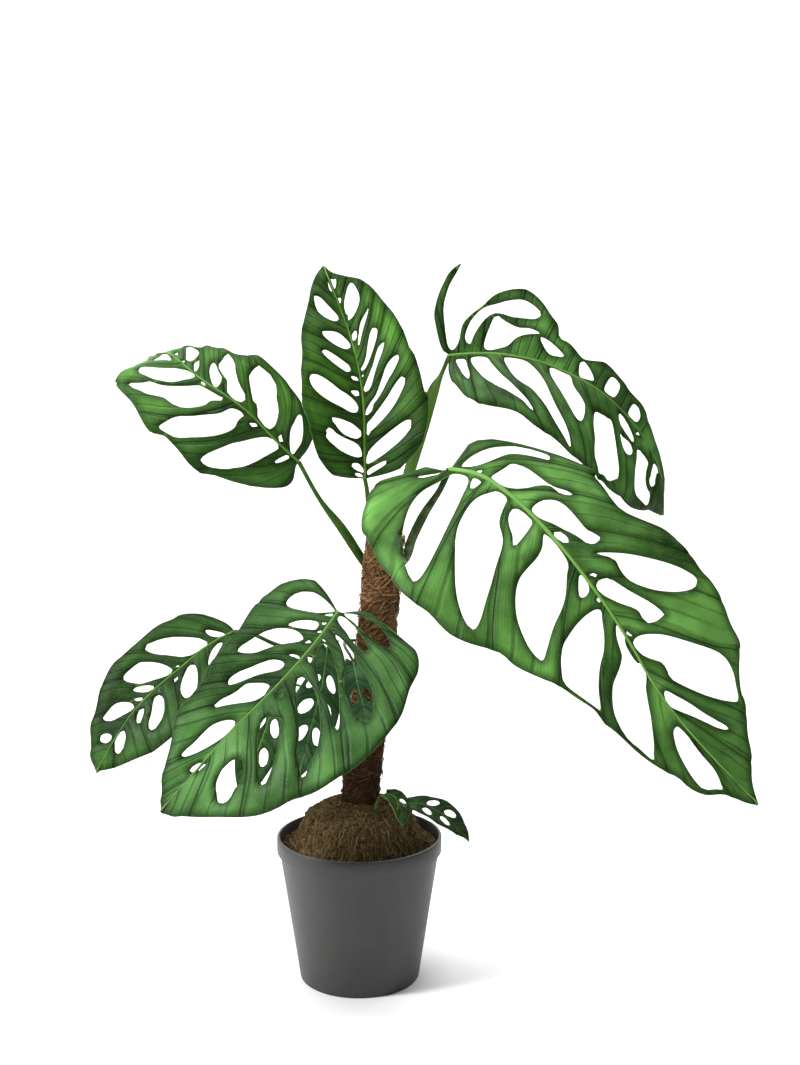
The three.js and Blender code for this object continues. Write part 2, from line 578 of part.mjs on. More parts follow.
          [6.35, 0.19], [6.25, 0.2], [6.12, 0.28], [6.03, 0.4], [5.98, 0.55], [6, 0.7], [6.08, 0.78],
          [6.2, 0.83], [6.33, 0.87],
        ],
        [
          [7.3, 0.28], [7.4, 0.23], [7.48, 0.19], [7.5, 0.163], [7.3, 0.116], [7.24, 0.107],
          [7.22, 0.2],
        ],
      ],
    },
    petiole: [[9, -1, 506], [11, 12, 480], [14, 22, 456], [23, 29, 430]],
    petioleSizes: [[2.1, 2.1], [2.3, 2.3], [3, 2.8], [3.6, 3.2], [3.6, 3.4]],
  },
  // upper right, arching over, near half hanging and far half rolled up
  leaf_c: {
    midrib: [
      [91, 0, 641], [121, -3, 643], [151, -6, 641], [180, -9, 635], [209, -12, 623], [239, -13, 606],
      [267, -10, 581],
      [289, -4, 552], [305, 4, 519], [310, 14, 478],
    ],
    face: [[0.15, -0.35, 0.95], [0.2, -0.4, 0.9], [0.4, -0.45, 0.8], [0.85, -0.4, 0.4], [0.95, -0.3, 0.1]],
    rib: 2.1,
    right: {
      bow: 0.1,
      lift: [-8, -14, -20],
      curl: [20, 26, 30],
      veins: [
        [0, 2, 40], [20, 32, 73], [45, 122, 80], [97, 191, 82], [137, 211, 74], [183, 257, 63],
        [237, 290, 23], [311, 311, 0],
      ],
      margin: [
        [0, 1.05], [0.4, 1.14], [0.6, 1.12], [0.7, 1.07], [0.85, 1.03], [1, 1.01], [1.35, 0.97],
        [1.5, 0.965], [1.7, 0.99], [1.85, 1.02], [2.1, 1.01], [2.45, 1.04], [2.6, 1.03], [3, 1],
        [3.4, 1.01], [3.6, 1.02], [3.8, 1.06], [4, 1.05], [4.2, 1.04], [4.35, 1.05], [4.6, 1.03], [4.9, 1],
        [5.05, 1.02], [5.25, 1.08], [5.45, 1.13], [5.7, 1.13], [6, 1.09], [6.4, 1.08],
      ],
      windows: [
        [
          [0.35, 0.12], [0.45, 0.22], [0.6, 0.36], [0.72, 0.48], [0.82, 0.55], [0.88, 0.56], [0.94, 0.48],
          [0.96, 0.38], [0.92, 0.28], [0.88, 0.16], [0.78, 0.1], [0.5, 0.1],
        ],
        [
          [1.06, 0.09], [1.1, 0.2], [1.18, 0.34], [1.3, 0.48], [1.42, 0.58], [1.6, 0.66], [1.75, 0.73],
          [1.9, 0.8], [1.98, 0.81], [2, 0.75], [1.92, 0.68], [1.82, 0.6], [1.76, 0.48], [1.7, 0.36],
          [1.68, 0.2], [1.67, 0.08], [1.4, 0.06], [1.15, 0.07],
        ],
        [
          [2.02, 0.38], [2.08, 0.45], [2.2, 0.49], [2.3, 0.54], [2.36, 0.65], [2.36, 0.78], [2.4, 0.88],
          [2.5, 0.97], [2.55, 0.92], [2.58, 0.78], [2.58, 0.6], [2.62, 0.45], [2.67, 0.3], [2.65, 0.15],
          [2.55, 0.05], [2.3, 0.04], [2.14, 0.06], [2.06, 0.2], [2.02, 0.3],
        ],
        [
          [3, 0.45], [3.04, 0.55], [3.15, 0.585], [3.3, 0.56], [3.5, 0.49], [3.63, 0.42], [3.72, 0.35],
          [3.68, 0.25], [3.6, 0.18], [3.6, 0.1], [3.62, 0.03], [3.4, 0.03], [3.1, 0.03], [3, 0.08],
          [2.98, 0.25],
        ],
        [
          [3.65, 0.86], [3.8, 0.93], [3.95, 0.985], [4.2, 0.97], [4.35, 0.98], [4.5, 0.94], [4.62, 0.89],
          [4.69, 0.86], [4.72, 0.75], [4.68, 0.6], [4.65, 0.45], [4.63, 0.3], [4.5, 0.3], [4.25, 0.33],
          [4.1, 0.36], [4, 0.45], [3.88, 0.58], [3.78, 0.7], [3.67, 0.8],
        ],
        [
          [4.9, 0.34], [4.88, 0.38], [4.95, 0.45], [5.05, 0.5], [5.15, 0.5], [5.25, 0.46], [5.3, 0.4],
          [5.28, 0.36], [5.2, 0.34], [5, 0.34],
        ],
        [
          [4.95, 0.1], [5, 0.2], [5.1, 0.25], [5.3, 0.285], [5.38, 0.25], [5.36, 0.17], [5.25, 0.11],
          [5.1, 0.07], [5, 0.06],
        ],
        [
          [5.3, 0.75], [5.32, 0.85], [5.42, 0.94], [5.6, 1.01], [5.78, 1.05], [5.88, 1], [5.9, 0.92],
          [5.86, 0.86], [5.76, 0.84], [5.69, 0.79], [5.64, 0.7], [5.7, 0.56], [5.78, 0.44], [5.84, 0.34],
          [5.7, 0.31], [5.5, 0.32], [5.42, 0.45], [5.34, 0.6],
        ],
        [
          [5.79, 0.68], [5.85, 0.73], [5.95, 0.72], [6.06, 0.66], [6.13, 0.58], [6.14, 0.48], [6.2, 0.35],
          [6.28, 0.18], [6.32, 0.09], [6.2, 0.075], [6.13, 0.15], [6.06, 0.32], [5.99, 0.46], [5.9, 0.57],
          [5.82, 0.63],
        ],
        [[5.5, 0.1], [5.58, 0.07], [5.65, 0.035], [5.55, 0.04]],
      ],
    },
    left: {
      bow: 0,
      lift: [72, 66, 40, 25],
      curl: [-25, -30, -10, 0],
      veins: [
        [0, -16, 90], [10, 14, 90], [32, 40, 72], [60, 66, 68], [88, 94, 46], [118, 118, 30],
        [150, 148, 27], [183, 178, 22], [217, 214, 19], [311, 311, 0],
      ],
      margin: [
        [-0.37, 0.05], [-0.43, 0.15], [-0.34, 0.36], [-0.22, 0.48], [0.23, 0.69], [0.72, 0.88],
        [0.95, 0.94], [1.17, 1.01], [1, 0.87], [0.71, 0.74], [0.35, 0.56], [0.2, 0.39], [0.1, 0.22],
        [0.08, 0.1], [0.51, 0.06], [0.95, 0.13], [1.17, 0.32], [1.5, 0.47], [1.83, 0.63], [2.16, 0.82],
        [2.65, 0.93], [3.11, 0.97], [3.5, 0.97], [3.78, 0.92], [4.08, 0.87], [4.31, 0.7], [4.65, 0.79],
        [4.97, 0.78], [5.33, 0.69], [5.68, 0.84], [6, 1], [6.6, 0.98], [7, 1], [7.5, 1], [8, 0.98],
        [8.6, 0.8],
      ],
      windows: [
        [
          [1.85, 0.59], [1.48, 0.37], [1.3, 0.18], [1.51, 0.12], [1.64, 0.23], [1.93, 0.45], [2.28, 0.57],
          [2.88, 0.54], [3.4, 0.64], [3.55, 0.8], [3.2, 0.82], [2.7, 0.77], [2.2, 0.68],
        ],
        [
          [2.29, 0.53], [2.14, 0.34], [2.05, 0.12], [2.22, 0.05], [2.62, 0.09], [2.86, 0.14], [3.04, 0.25],
          [3.23, 0.33], [3.59, 0.45], [3.71, 0.51], [3.41, 0.48], [3.02, 0.41], [2.57, 0.47],
        ],
        [[3.82, 0.41], [3.85, 0.47], [4.29, 0.47], [4.71, 0.4], [4.44, 0.27], [4.19, 0.25]],
        [[5.29, 0.47], [5.37, 0.6], [5.53, 0.54], [5.73, 0.4], [5.88, 0.22], [5.68, 0.13], [5.44, 0.1]],
        [[6.3, 0.2], [6.3, 0.7], [6.5, 0.8], [6.7, 0.7], [6.7, 0.25], [6.5, 0.15]],
        [[7.4, 0.2], [7.4, 0.65], [7.6, 0.75], [7.8, 0.6], [7.8, 0.25], [7.6, 0.15]],
      ],
    },
    petiole: [[83, 3, 622], [75, 6, 604], [64, 11, 566], [52, 18, 525], [40, 26, 484], [29, 28, 452]],
    petioleSizes: [[2.3, 2.3], [2.4, 2.4], [6, 2.6], [6.6, 2.8], [6, 3], [4.8, 3.4], [4.2, 3.6]],
    wings: [1, -0.3, 0],
  },
  // large leaf to the right, nearest the front
  leaf_d: {
    midrib: [
      [90, -50, 532], [118, -74, 528], [150, -97, 507], [185, -118, 472], [216, -136, 433], [245, -148, 391],
      [279, -160, 334], [321, -167, 284], [368, -172, 236],
    ],
    face: [[-0.05, -0.8, 0.6], [0.1, -0.9, 0.45], [0.3, -0.9, 0.3]],
    rib: 3,
    right: {
      bow: 0.12,
      lift: [10, 14, 10],
      curl: [14, 12, 10],
      veins: [
        [0, -28, 1], [0, -66, 40], [2, -22, 104], [45, 103, 143], [76, 190, 116], [168, 251, 84],
        [212, 298, 63], [286, 360, 45], [354, 420, 14], [442, 442, 0],
      ],
      margin: [
        [0, 1], [1, 1.05], [1.5, 1.1], [1.7, 1.1], [1.85, 1.05], [2, 1.06], [2.3, 1.12], [2.45, 1.08],
        [2.75, 1.04], [3, 1], [3.2, 0.985], [3.5, 1.03], [3.75, 1.03], [4.1, 0.99], [4.3, 1.01],
        [4.9, 1.01], [5.5, 0.995], [5.8, 0.985], [6, 1.01], [6.3, 0.985], [6.8, 1.005], [7.15, 0.99],
        [7.3, 1.04], [7.5, 1.05], [7.7, 1], [7.9, 0.97], [8.5, 0.98], [8.75, 1],
      ],
      windows: [
        [
          [0.92, 0.1], [0.98, 0.3], [1.05, 0.38], [1.18, 0.36], [1.3, 0.27], [1.4, 0.17], [1.5, 0.09],
          [1.2, 0.08],
        ],
        [
          [2.4, 0.04], [2.18, 0.06], [2.02, 0.2], [1.98, 0.34], [2.1, 0.52], [2.22, 0.7], [2.3, 0.86],
          [2.36, 0.91], [2.62, 0.9], [2.84, 0.92], [2.92, 0.8], [2.93, 0.6], [2.88, 0.4], [2.8, 0.22],
          [2.66, 0.07],
        ],
        [[2.74, 0.045], [2.78, 0.1], [2.86, 0.13], [2.92, 0.09], [2.94, 0.045]],
        [
          [3.93, 0.04], [3.62, 0.045], [3.3, 0.1], [3.13, 0.15], [3.05, 0.22], [3.05, 0.36], [3.12, 0.48],
          [3.27, 0.62], [3.42, 0.78], [3.55, 0.88], [3.68, 0.945], [3.77, 0.95], [3.83, 0.88], [3.88, 0.72],
          [3.94, 0.54], [4, 0.4], [3.99, 0.32], [3.9, 0.26], [3.88, 0.2], [3.92, 0.1],
        ],
        [
          [4.04, 0.14], [4.06, 0.2], [4.14, 0.26], [4.17, 0.33], [4.23, 0.28], [4.3, 0.18], [4.35, 0.08],
          [4.34, 0.04], [4.18, 0.045], [4.08, 0.08],
        ],
        [
          [4.52, 0.04], [4.53, 0.14], [4.5, 0.25], [4.42, 0.37], [4.32, 0.5], [4.29, 0.62], [4.32, 0.74],
          [4.4, 0.82], [4.52, 0.88], [4.68, 0.905], [4.74, 0.82], [4.82, 0.64], [4.92, 0.45], [4.95, 0.3],
          [4.9, 0.15], [4.87, 0.06], [4.7, 0.03],
        ],
        [
          [5.02, 0.7], [5.01, 0.82], [5.06, 0.92], [5.16, 0.965], [5.5, 0.965], [5.85, 0.955], [5.95, 0.93],
          [5.94, 0.8], [5.98, 0.62], [6.05, 0.45], [6.05, 0.3], [6, 0.18], [5.93, 0.1], [5.78, 0.15],
          [5.6, 0.24], [5.4, 0.35], [5.22, 0.48], [5.1, 0.6],
        ],
        [
          [5.1, 0.04], [5.16, 0.14], [5.22, 0.2], [5.33, 0.17], [5.41, 0.12], [5.44, 0.07], [5.38, 0.03],
          [5.2, 0.02],
        ],
        [[5.75, 0.06], [5.79, 0.08], [5.84, 0.05], [5.86, 0.02], [5.79, 0.02]],
        [
          [6.28, 0.03], [6.3, 0.1], [6.38, 0.18], [6.46, 0.23], [6.44, 0.35], [6.36, 0.5], [6.28, 0.64],
          [6.24, 0.8], [6.28, 0.88], [6.42, 0.94], [6.6, 0.94], [6.78, 0.96], [6.84, 0.88], [6.93, 0.74],
          [7, 0.55], [7.02, 0.4], [7, 0.2], [6.96, 0.04], [6.82, 0.027], [6.75, 0.07], [6.62, 0.09],
          [6.5, 0.08], [6.44, 0.023], [6.35, 0.023],
        ],
        [
          [7.62, 0.2], [7.5, 0.32], [7.42, 0.45], [7.38, 0.65], [7.42, 0.84], [7.5, 0.97], [7.56, 0.98],
          [7.72, 0.93], [7.88, 0.89], [7.98, 0.78], [8.06, 0.62], [8.08, 0.5], [8, 0.38], [7.88, 0.28],
          [7.84, 0.2], [7.74, 0.17],
        ],
      ],
    },
    left: {
      bow: 0.1,
      lift: [14, 12, 8],
      curl: [16, 12, 10],
      veins: [
        [-2, 6, 28], [17, 123, 76], [69, 164, 79], [123, 218, 95], [182, 262, 97], [223, 323, 88],
        [279, 375, 52], [319, 413, 24], [442, 442, 0],
      ],
      margin: [
        [0, 1.1], [0.2, 1.13], [0.4, 1.14], [0.55, 1.14], [0.7, 1.12], [0.85, 1.02], [1, 0.93],
        [1.12, 0.885], [1.3, 0.87], [1.6, 0.86], [1.95, 0.85], [2.15, 0.86], [2.2, 0.95], [2.22, 1.07],
        [2.4, 1.08], [2.6, 1.04], [2.8, 1.01], [3, 0.99], [3.4, 0.98], [3.6, 1], [4.3, 0.99], [4.8, 1.01],
        [5.1, 0.99], [5.5, 0.98], [5.7, 0.98], [5.85, 1], [6.6, 1], [7, 0.98], [7.4, 0.95], [7.7, 0.9],
        [7.85, 0.85],
      ],
      windows: [
        [
          [0.38, 0.95], [0.35, 0.8], [0.35, 0.6], [0.36, 0.4], [0.38, 0.25], [0.48, 0.12], [0.7, 0.075],
          [0.95, 0.08], [1, 0.16], [0.92, 0.29], [0.79, 0.42], [0.7, 0.52], [0.71, 0.6], [0.85, 0.69],
          [0.8, 0.75], [0.69, 0.83], [0.58, 0.92],
        ],
        [
          [1.2, 0.33], [1.31, 0.38], [1.68, 0.41], [1.85, 0.44], [1.92, 0.51], [1.98, 0.535], [2.05, 0.5],
          [2.04, 0.435], [1.84, 0.42], [1.86, 0.31], [1.93, 0.2], [1.89, 0.045], [1.58, 0.04], [1.5, 0.09],
          [1.39, 0.19], [1.26, 0.28],
        ],
        [[1.28, 0.07], [1.33, 0.07], [1.36, 0.03], [1.3, 0.02], [1.26, 0.04]],
        [
          [2.28, 0.32], [2.42, 0.34], [2.6, 0.33], [2.85, 0.31], [3, 0.31], [3.12, 0.355], [3.22, 0.33],
          [3.3, 0.27], [3.3, 0.22], [3.15, 0.19], [3, 0.14], [2.88, 0.1], [2.78, 0.05], [2.7, 0.03],
          [2.55, 0.035], [2.42, 0.1], [2.3, 0.2], [2.27, 0.26],
        ],
        [[3.06, 0.07], [3.08, 0.1], [3.2, 0.105], [3.29, 0.08], [3.28, 0.04], [3.17, 0.02], [3.08, 0.035]],
        [
          [3.7, 0.88], [3.6, 0.84], [3.52, 0.74], [3.48, 0.55], [3.47, 0.4], [3.5, 0.23], [3.56, 0.3],
          [3.65, 0.335], [3.8, 0.32], [3.95, 0.32], [4.1, 0.35], [4.18, 0.42], [4.21, 0.5], [4.17, 0.62],
          [4.08, 0.73], [3.95, 0.82], [3.82, 0.86],
        ],
        [[3.9, 0.08], [3.93, 0.11], [3.98, 0.09], [3.98, 0.05], [3.92, 0.05]],
        [
          [4.02, 0.18], [4.1, 0.21], [4.25, 0.25], [4.4, 0.31], [4.52, 0.38], [4.62, 0.42], [4.7, 0.45],
          [4.8, 0.41], [4.92, 0.35], [5, 0.28], [4.93, 0.255], [4.8, 0.25], [4.73, 0.22], [4.65, 0.13],
          [4.5, 0.06], [4.35, 0.03], [4.22, 0.035], [4.1, 0.07], [4.03, 0.13],
        ],
        [
          [5.08, 0.72], [5.14, 0.83], [5.28, 0.9], [5.45, 0.935], [5.6, 0.94], [5.83, 0.94], [5.9, 0.88],
          [5.95, 0.75], [5.97, 0.6], [5.95, 0.4], [5.9, 0.31], [5.75, 0.3], [5.66, 0.27], [5.68, 0.17],
          [5.68, 0.08], [5.6, 0.04], [5.5, 0.04], [5.38, 0.1], [5.26, 0.2], [5.15, 0.35], [5.1, 0.5],
        ],
        [[5.3, 0.03], [5.31, 0.07], [5.35, 0.075], [5.38, 0.045], [5.35, 0.02]],
        [
          [6.47, 0.8], [6.5, 0.81], [6.58, 0.77], [6.66, 0.68], [6.7, 0.58], [6.76, 0.45], [6.84, 0.32],
          [6.92, 0.18], [6.97, 0.06], [6.95, 0.051], [6.88, 0.048], [6.78, 0.08], [6.62, 0.12],
          [6.42, 0.18], [6.4, 0.3], [6.4, 0.42], [6.46, 0.58], [6.47, 0.7],
        ],
      ],
    },
    petiole: [[80, -46, 510], [66, -36, 488], [54, -14, 460], [48, 12, 436], [36, 26, 422], [22, 30, 414]],
    petioleSizes: [[3.2, 3.2], [3.2, 3.2], [4.8, 3], [5, 3.2], [4.4, 3.4], [4, 3.6], [4, 3.6]],
    wings: [1, 0.3, 0],
  },
  // lower left, in front of the pole
  leaf_e: {
    midrib: [
      [-18, -62, 394], [-38, -84, 369], [-64, -106, 342], [-90, -120, 317], [-115, -130, 294], [-143, -137, 263],
      [-182, -140, 219],
    ],
    face: [[-0.2, -0.75, 0.65], [-0.25, -0.85, 0.5], [-0.3, -0.9, 0.3]],
    rib: 2.2,
    right: {
      bow: 0.1,
      lift: [12, 12, 8],
      curl: [14, 12, 12],
      veins: [
        [0, -20, 38], [7, 30, 76], [26, 72, 69], [55, 118, 67], [87, 149, 55], [117, 184, 52],
        [169, 226, 26], [216, 246, 10], [258, 258, 0],
      ],
      margin: [
        [0, 1.05], [0.15, 1.2], [0.35, 1.25], [0.55, 1.17], [0.7, 1.12], [0.85, 1.04], [1, 0.99],
        [1.2, 0.97], [1.4, 0.98], [1.65, 1.01], [1.9, 1.02], [2.5, 1], [3.1, 0.98], [3.5, 1], [4, 1],
        [4.3, 0.98], [4.8, 0.99], [5.2, 0.97], [5.5, 0.96], [5.9, 0.98], [6.4, 1], [7, 1], [7.5, 0.97],
        [7.8, 0.9],
      ],
      windows: [
        [
          [0.18, 0.1], [0.17, 0.3], [0.2, 0.55], [0.24, 0.7], [0.35, 0.79], [0.47, 0.815], [0.6, 0.78],
          [0.78, 0.72], [0.95, 0.65], [1.04, 0.55], [1.05, 0.45], [1.03, 0.32], [0.95, 0.22], [0.78, 0.15],
          [0.55, 0.09], [0.35, 0.075],
        ],
        [[0.72, 0.07], [0.85, 0.1], [1, 0.15], [1.02, 0.1], [0.98, 0.04], [0.8, 0.04]],
        [
          [1.82, 0.5], [1.74, 0.46], [1.62, 0.4], [1.52, 0.31], [1.49, 0.22], [1.53, 0.15], [1.65, 0.125],
          [1.8, 0.12], [1.9, 0.14], [1.91, 0.25], [1.9, 0.36], [1.86, 0.44],
        ],
        [[1.45, 0.08], [1.5, 0.1], [1.58, 0.1], [1.64, 0.07], [1.6, 0.04], [1.52, 0.04]],
        [[1.88, 0.07], [1.93, 0.1], [2.02, 0.09], [2.06, 0.06], [2.03, 0.03], [1.95, 0.045]],
        [
          [1.97, 0.45], [1.97, 0.58], [2.05, 0.67], [2.2, 0.72], [2.4, 0.76], [2.55, 0.79], [2.7, 0.81],
          [2.85, 0.79], [2.92, 0.72], [2.93, 0.62], [2.85, 0.55], [2.75, 0.5], [2.66, 0.45], [2.6, 0.36],
          [2.52, 0.25], [2.44, 0.18], [2.35, 0.19], [2.2, 0.25], [2.05, 0.34],
        ],
        [[2.4, 0.1], [2.45, 0.14], [2.52, 0.12], [2.54, 0.07], [2.47, 0.055]],
        [
          [3.85, 0.69], [3.95, 0.7], [4.05, 0.67], [4.16, 0.64], [4.1, 0.58], [3.98, 0.5], [3.88, 0.43],
          [3.78, 0.34], [3.7, 0.24], [3.63, 0.17], [3.5, 0.15], [3.35, 0.18], [3.25, 0.26], [3.23, 0.35],
          [3.33, 0.42], [3.48, 0.5], [3.6, 0.58], [3.7, 0.65],
        ],
        [[2.98, 0.18], [3.02, 0.2], [3.1, 0.12], [3.2, 0.05], [3.24, 0.03], [3.15, 0.04], [3.03, 0.1]],
        [
          [4.18, 0.42], [4.3, 0.44], [4.5, 0.45], [4.7, 0.48], [4.85, 0.54], [5, 0.57], [5.07, 0.56],
          [5.05, 0.45], [5.02, 0.3], [4.98, 0.15], [4.9, 0.08], [4.75, 0.05], [4.55, 0.055], [4.35, 0.1],
          [4.22, 0.18], [4.17, 0.3],
        ],
        [
          [5.9, 0.74], [5.82, 0.7], [5.73, 0.6], [5.6, 0.52], [5.48, 0.44], [5.45, 0.35], [5.45, 0.22],
          [5.52, 0.1], [5.65, 0.037], [5.8, 0.042], [5.9, 0.1], [5.98, 0.25], [6.02, 0.4], [6.02, 0.55],
          [5.98, 0.68],
        ],
        [
          [6.55, 0.35], [6.62, 0.3], [6.7, 0.22], [6.76, 0.1], [6.74, 0.096], [6.6, 0.084], [6.52, 0.08],
          [6.48, 0.2], [6.5, 0.3],
        ],
      ],
    },
    left: {
      bow: 0.12,
      lift: [10, 12, 8],
      curl: [16, 14, 12],
      veins: [
        [0, -12, 24], [1, 10, 98], [11, 34, 108], [23, 67, 121], [58, 115, 114], [88, 154, 98],
        [133, 205, 65], [184, 239, 26], [258, 258, 0],
      ],
      margin: [
        [0, 1.05], [0.4, 1.12], [0.72, 1.09], [0.85, 1.02], [1, 0.96], [1.2, 0.94], [1.4, 0.96],
        [1.6, 0.99], [1.85, 1.01], [2.5, 0.985], [3, 0.99], [3.5, 1], [5, 1], [5.4, 1.02], [5.7, 1.015],
        [6, 0.99], [6.4, 0.975], [6.8, 0.99], [7.2, 1], [7.5, 1.04],
      ],
      windows: [
        [
          [0.27, 0.12], [0.24, 0.28], [0.36, 0.42], [0.6, 0.48], [0.95, 0.51], [1.25, 0.53], [1.5, 0.6],
          [1.8, 0.65], [1.95, 0.62], [2, 0.5], [1.9, 0.36], [1.72, 0.27], [1.5, 0.2], [1.3, 0.13],
          [1.05, 0.08], [0.6, 0.07], [0.35, 0.08],
        ],
        [
          [1.32, 0.05], [1.4, 0.1], [1.6, 0.16], [1.8, 0.23], [2, 0.29], [2.2, 0.34], [2.45, 0.4],
          [2.65, 0.44], [2.8, 0.42], [2.86, 0.36], [2.82, 0.28], [2.7, 0.22], [2.45, 0.16], [2.2, 0.11],
          [1.9, 0.06], [1.6, 0.035],
        ],
        [[2.65, 0.05], [2.8, 0.08], [2.92, 0.07], [2.85, 0.04]],
        [
          [2.95, 0.12], [3.05, 0.24], [3.12, 0.36], [3.2, 0.47], [3.22, 0.6], [3.3, 0.72], [3.45, 0.81],
          [3.58, 0.79], [3.72, 0.68], [3.74, 0.55], [3.66, 0.44], [3.45, 0.37], [3.3, 0.28], [3.12, 0.16],
          [3.02, 0.1],
        ],
        [[3.3, 0.05], [3.34, 0.07], [3.37, 0.05], [3.34, 0.03]],
        [
          [3.42, 0.06], [3.4, 0.12], [3.46, 0.19], [3.58, 0.27], [3.72, 0.38], [3.85, 0.48], [3.95, 0.58],
          [4.02, 0.68], [4.08, 0.7], [4.14, 0.63], [4.16, 0.5], [4.2, 0.42], [4.2, 0.35], [4.1, 0.26],
          [3.98, 0.17], [3.85, 0.12], [3.7, 0.07], [3.55, 0.045],
        ],
        [[3.8, 0.045], [3.85, 0.07], [3.95, 0.09], [4.02, 0.08], [3.99, 0.05], [3.9, 0.025]],
        [
          [4.36, 0.3], [4.38, 0.42], [4.42, 0.52], [4.46, 0.6], [4.6, 0.72], [4.7, 0.76], [4.8, 0.8],
          [4.9, 0.88], [4.95, 0.87], [5.02, 0.75], [5.06, 0.66], [5, 0.55], [4.95, 0.42], [4.9, 0.28],
          [4.82, 0.17], [4.65, 0.11], [4.5, 0.12], [4.4, 0.2],
        ],
        [
          [5.32, 0.33], [5.38, 0.42], [5.4, 0.52], [5.45, 0.62], [5.55, 0.74], [5.66, 0.81], [5.74, 0.76],
          [5.77, 0.66], [5.78, 0.55], [5.8, 0.42], [5.8, 0.34], [5.73, 0.22], [5.62, 0.2], [5.48, 0.26],
          [5.35, 0.3],
        ],
        [[5.14, 0.09], [5.2, 0.14], [5.26, 0.11], [5.26, 0.07], [5.2, 0.04], [5.15, 0.06]],
        [
          [6.06, 0.62], [6.1, 0.7], [6.2, 0.74], [6.27, 0.82], [6.38, 0.85], [6.48, 0.83], [6.56, 0.74],
          [6.64, 0.62], [6.62, 0.52], [6.56, 0.46], [6.4, 0.43], [6.25, 0.45], [6.12, 0.5],
        ],
        [[7.1, 0.12], [7.2, 0.1], [7.3, 0.075], [7.2, 0.065], [7.15, 0.061]],
      ],
    },
    petiole: [[-22, -50, 384], [-24, -34, 362], [-18, -12, 336], [-13, 10, 310], [-4, 26, 288], [5, 29, 280]],
    petioleSizes: [[2.4, 2.4], [2.6, 2.6], [3, 2.8], [3.6, 3], [3.8, 3], [3.6, 3.2], [3.6, 3.4]],
  },
  // lower left, behind leaf_e
  leaf_f: {
    midrib: [
      [-124, -14, 366], [-150, -24, 353], [-177, -34, 332], [-205, -42, 309], [-231, -48, 279], [-260, -52, 230],
    ],
    face: [[-0.1, -0.7, 0.7], [-0.2, -0.8, 0.6], [-0.3, -0.9, 0.35]],
    rib: 1.8,
    right: {
      bow: 0.1,
      lift: [12, 12, 8],
      curl: [16, 16, 12],
      veins: [
        [0, 3, 14], [13, 40, 49], [51, 100, 52], [88, 130, 46], [128, 158, 33], [161, 183, 19],
        [201, 201, 0],
      ],
      margin: [
        [0, 1.1], [0.5, 1.15], [0.75, 1.12], [0.85, 1.06], [1, 1], [1.15, 0.99], [1.3, 1.015], [2.7, 1.01],
        [3, 1], [3.3, 0.975], [3.6, 0.965], [3.9, 0.98], [4.1, 1.01], [4.9, 0.99], [5.2, 1.03], [5.5, 1.08],
        [5.8, 1.1],
      ],
      windows: [
        [
          [0.85, 0.05], [0.88, 0.12], [0.97, 0.2], [1.05, 0.28], [1.13, 0.32], [1.2, 0.27], [1.22, 0.17],
          [1.2, 0.1], [1.1, 0.04], [0.98, 0.03], [0.9, 0.03],
        ],
        [
          [1.75, 0.84], [1.65, 0.78], [1.55, 0.7], [1.48, 0.55], [1.45, 0.4], [1.41, 0.25], [1.42, 0.12],
          [1.45, 0.03], [1.6, 0.03], [1.8, 0.04], [1.93, 0.09], [2, 0.2], [2.01, 0.4], [2.02, 0.55],
          [1.97, 0.68], [1.88, 0.79],
        ],
        [[2.31, 0.07], [2.34, 0.11], [2.39, 0.08], [2.38, 0.04], [2.33, 0.035]],
        [
          [2.38, 0.66], [2.5, 0.68], [2.65, 0.7], [2.8, 0.725], [2.93, 0.71], [3.03, 0.65], [3.1, 0.55],
          [3.13, 0.42], [3.12, 0.32], [3.05, 0.25], [2.95, 0.18], [2.85, 0.1], [2.72, 0.05], [2.57, 0.06],
          [2.48, 0.14], [2.4, 0.28], [2.36, 0.42], [2.35, 0.55],
        ],
        [
          [3.3, 0.4], [3.36, 0.38], [3.4, 0.3], [3.4, 0.17], [3.35, 0.06], [3.27, 0.03], [3.2, 0.05],
          [3.17, 0.13], [3.2, 0.27],
        ],
        [[3.62, 0.23], [3.66, 0.2], [3.68, 0.12], [3.65, 0.05], [3.6, 0.035], [3.56, 0.06], [3.58, 0.16]],
        [
          [4.1, 0.73], [4, 0.69], [3.88, 0.64], [3.77, 0.58], [3.72, 0.48], [3.73, 0.32], [3.78, 0.18],
          [3.87, 0.08], [3.95, 0.08], [4.05, 0.15], [4.15, 0.24], [4.25, 0.35], [4.29, 0.46], [4.27, 0.58],
          [4.2, 0.68],
        ],
        [
          [4.75, 0.65], [4.88, 0.66], [4.97, 0.6], [5.02, 0.5], [5.07, 0.4], [5.06, 0.28], [5, 0.2],
          [4.9, 0.22], [4.8, 0.32], [4.75, 0.42], [4.72, 0.55],
        ],
      ],
    },
    left: {
      bow: 0.1,
      lift: [10, 10, 8],
      curl: [16, 16, 12],
      veins: [[0, 5, 15], [35, 60, 46], [76, 103, 57], [127, 147, 44], [162, 185, 14], [201, 201, 0]],
      margin: [
        [0, 1], [2.4, 1], [3, 1.02], [3.5, 1.02], [4, 1.03], [4.4, 0.99], [4.6, 0.93], [4.75, 0.83],
        [4.85, 0.75],
      ],
      windows: [
        [
          [0.45, 0.22], [0.5, 0.28], [0.6, 0.36], [0.75, 0.42], [0.9, 0.45], [1, 0.42], [1, 0.35],
          [0.93, 0.25], [0.82, 0.18], [0.7, 0.13], [0.58, 0.11], [0.48, 0.14],
        ],
        [
          [1.46, 0.62], [1.55, 0.64], [1.65, 0.62], [1.8, 0.57], [1.86, 0.5], [1.9, 0.4], [1.88, 0.3],
          [1.8, 0.22], [1.72, 0.15], [1.62, 0.1], [1.52, 0.09], [1.43, 0.13], [1.38, 0.22], [1.38, 0.35],
          [1.41, 0.5],
        ],
        [[1.9, 0.1], [1.92, 0.15], [1.98, 0.16], [2.01, 0.12], [1.98, 0.08], [1.93, 0.08]],
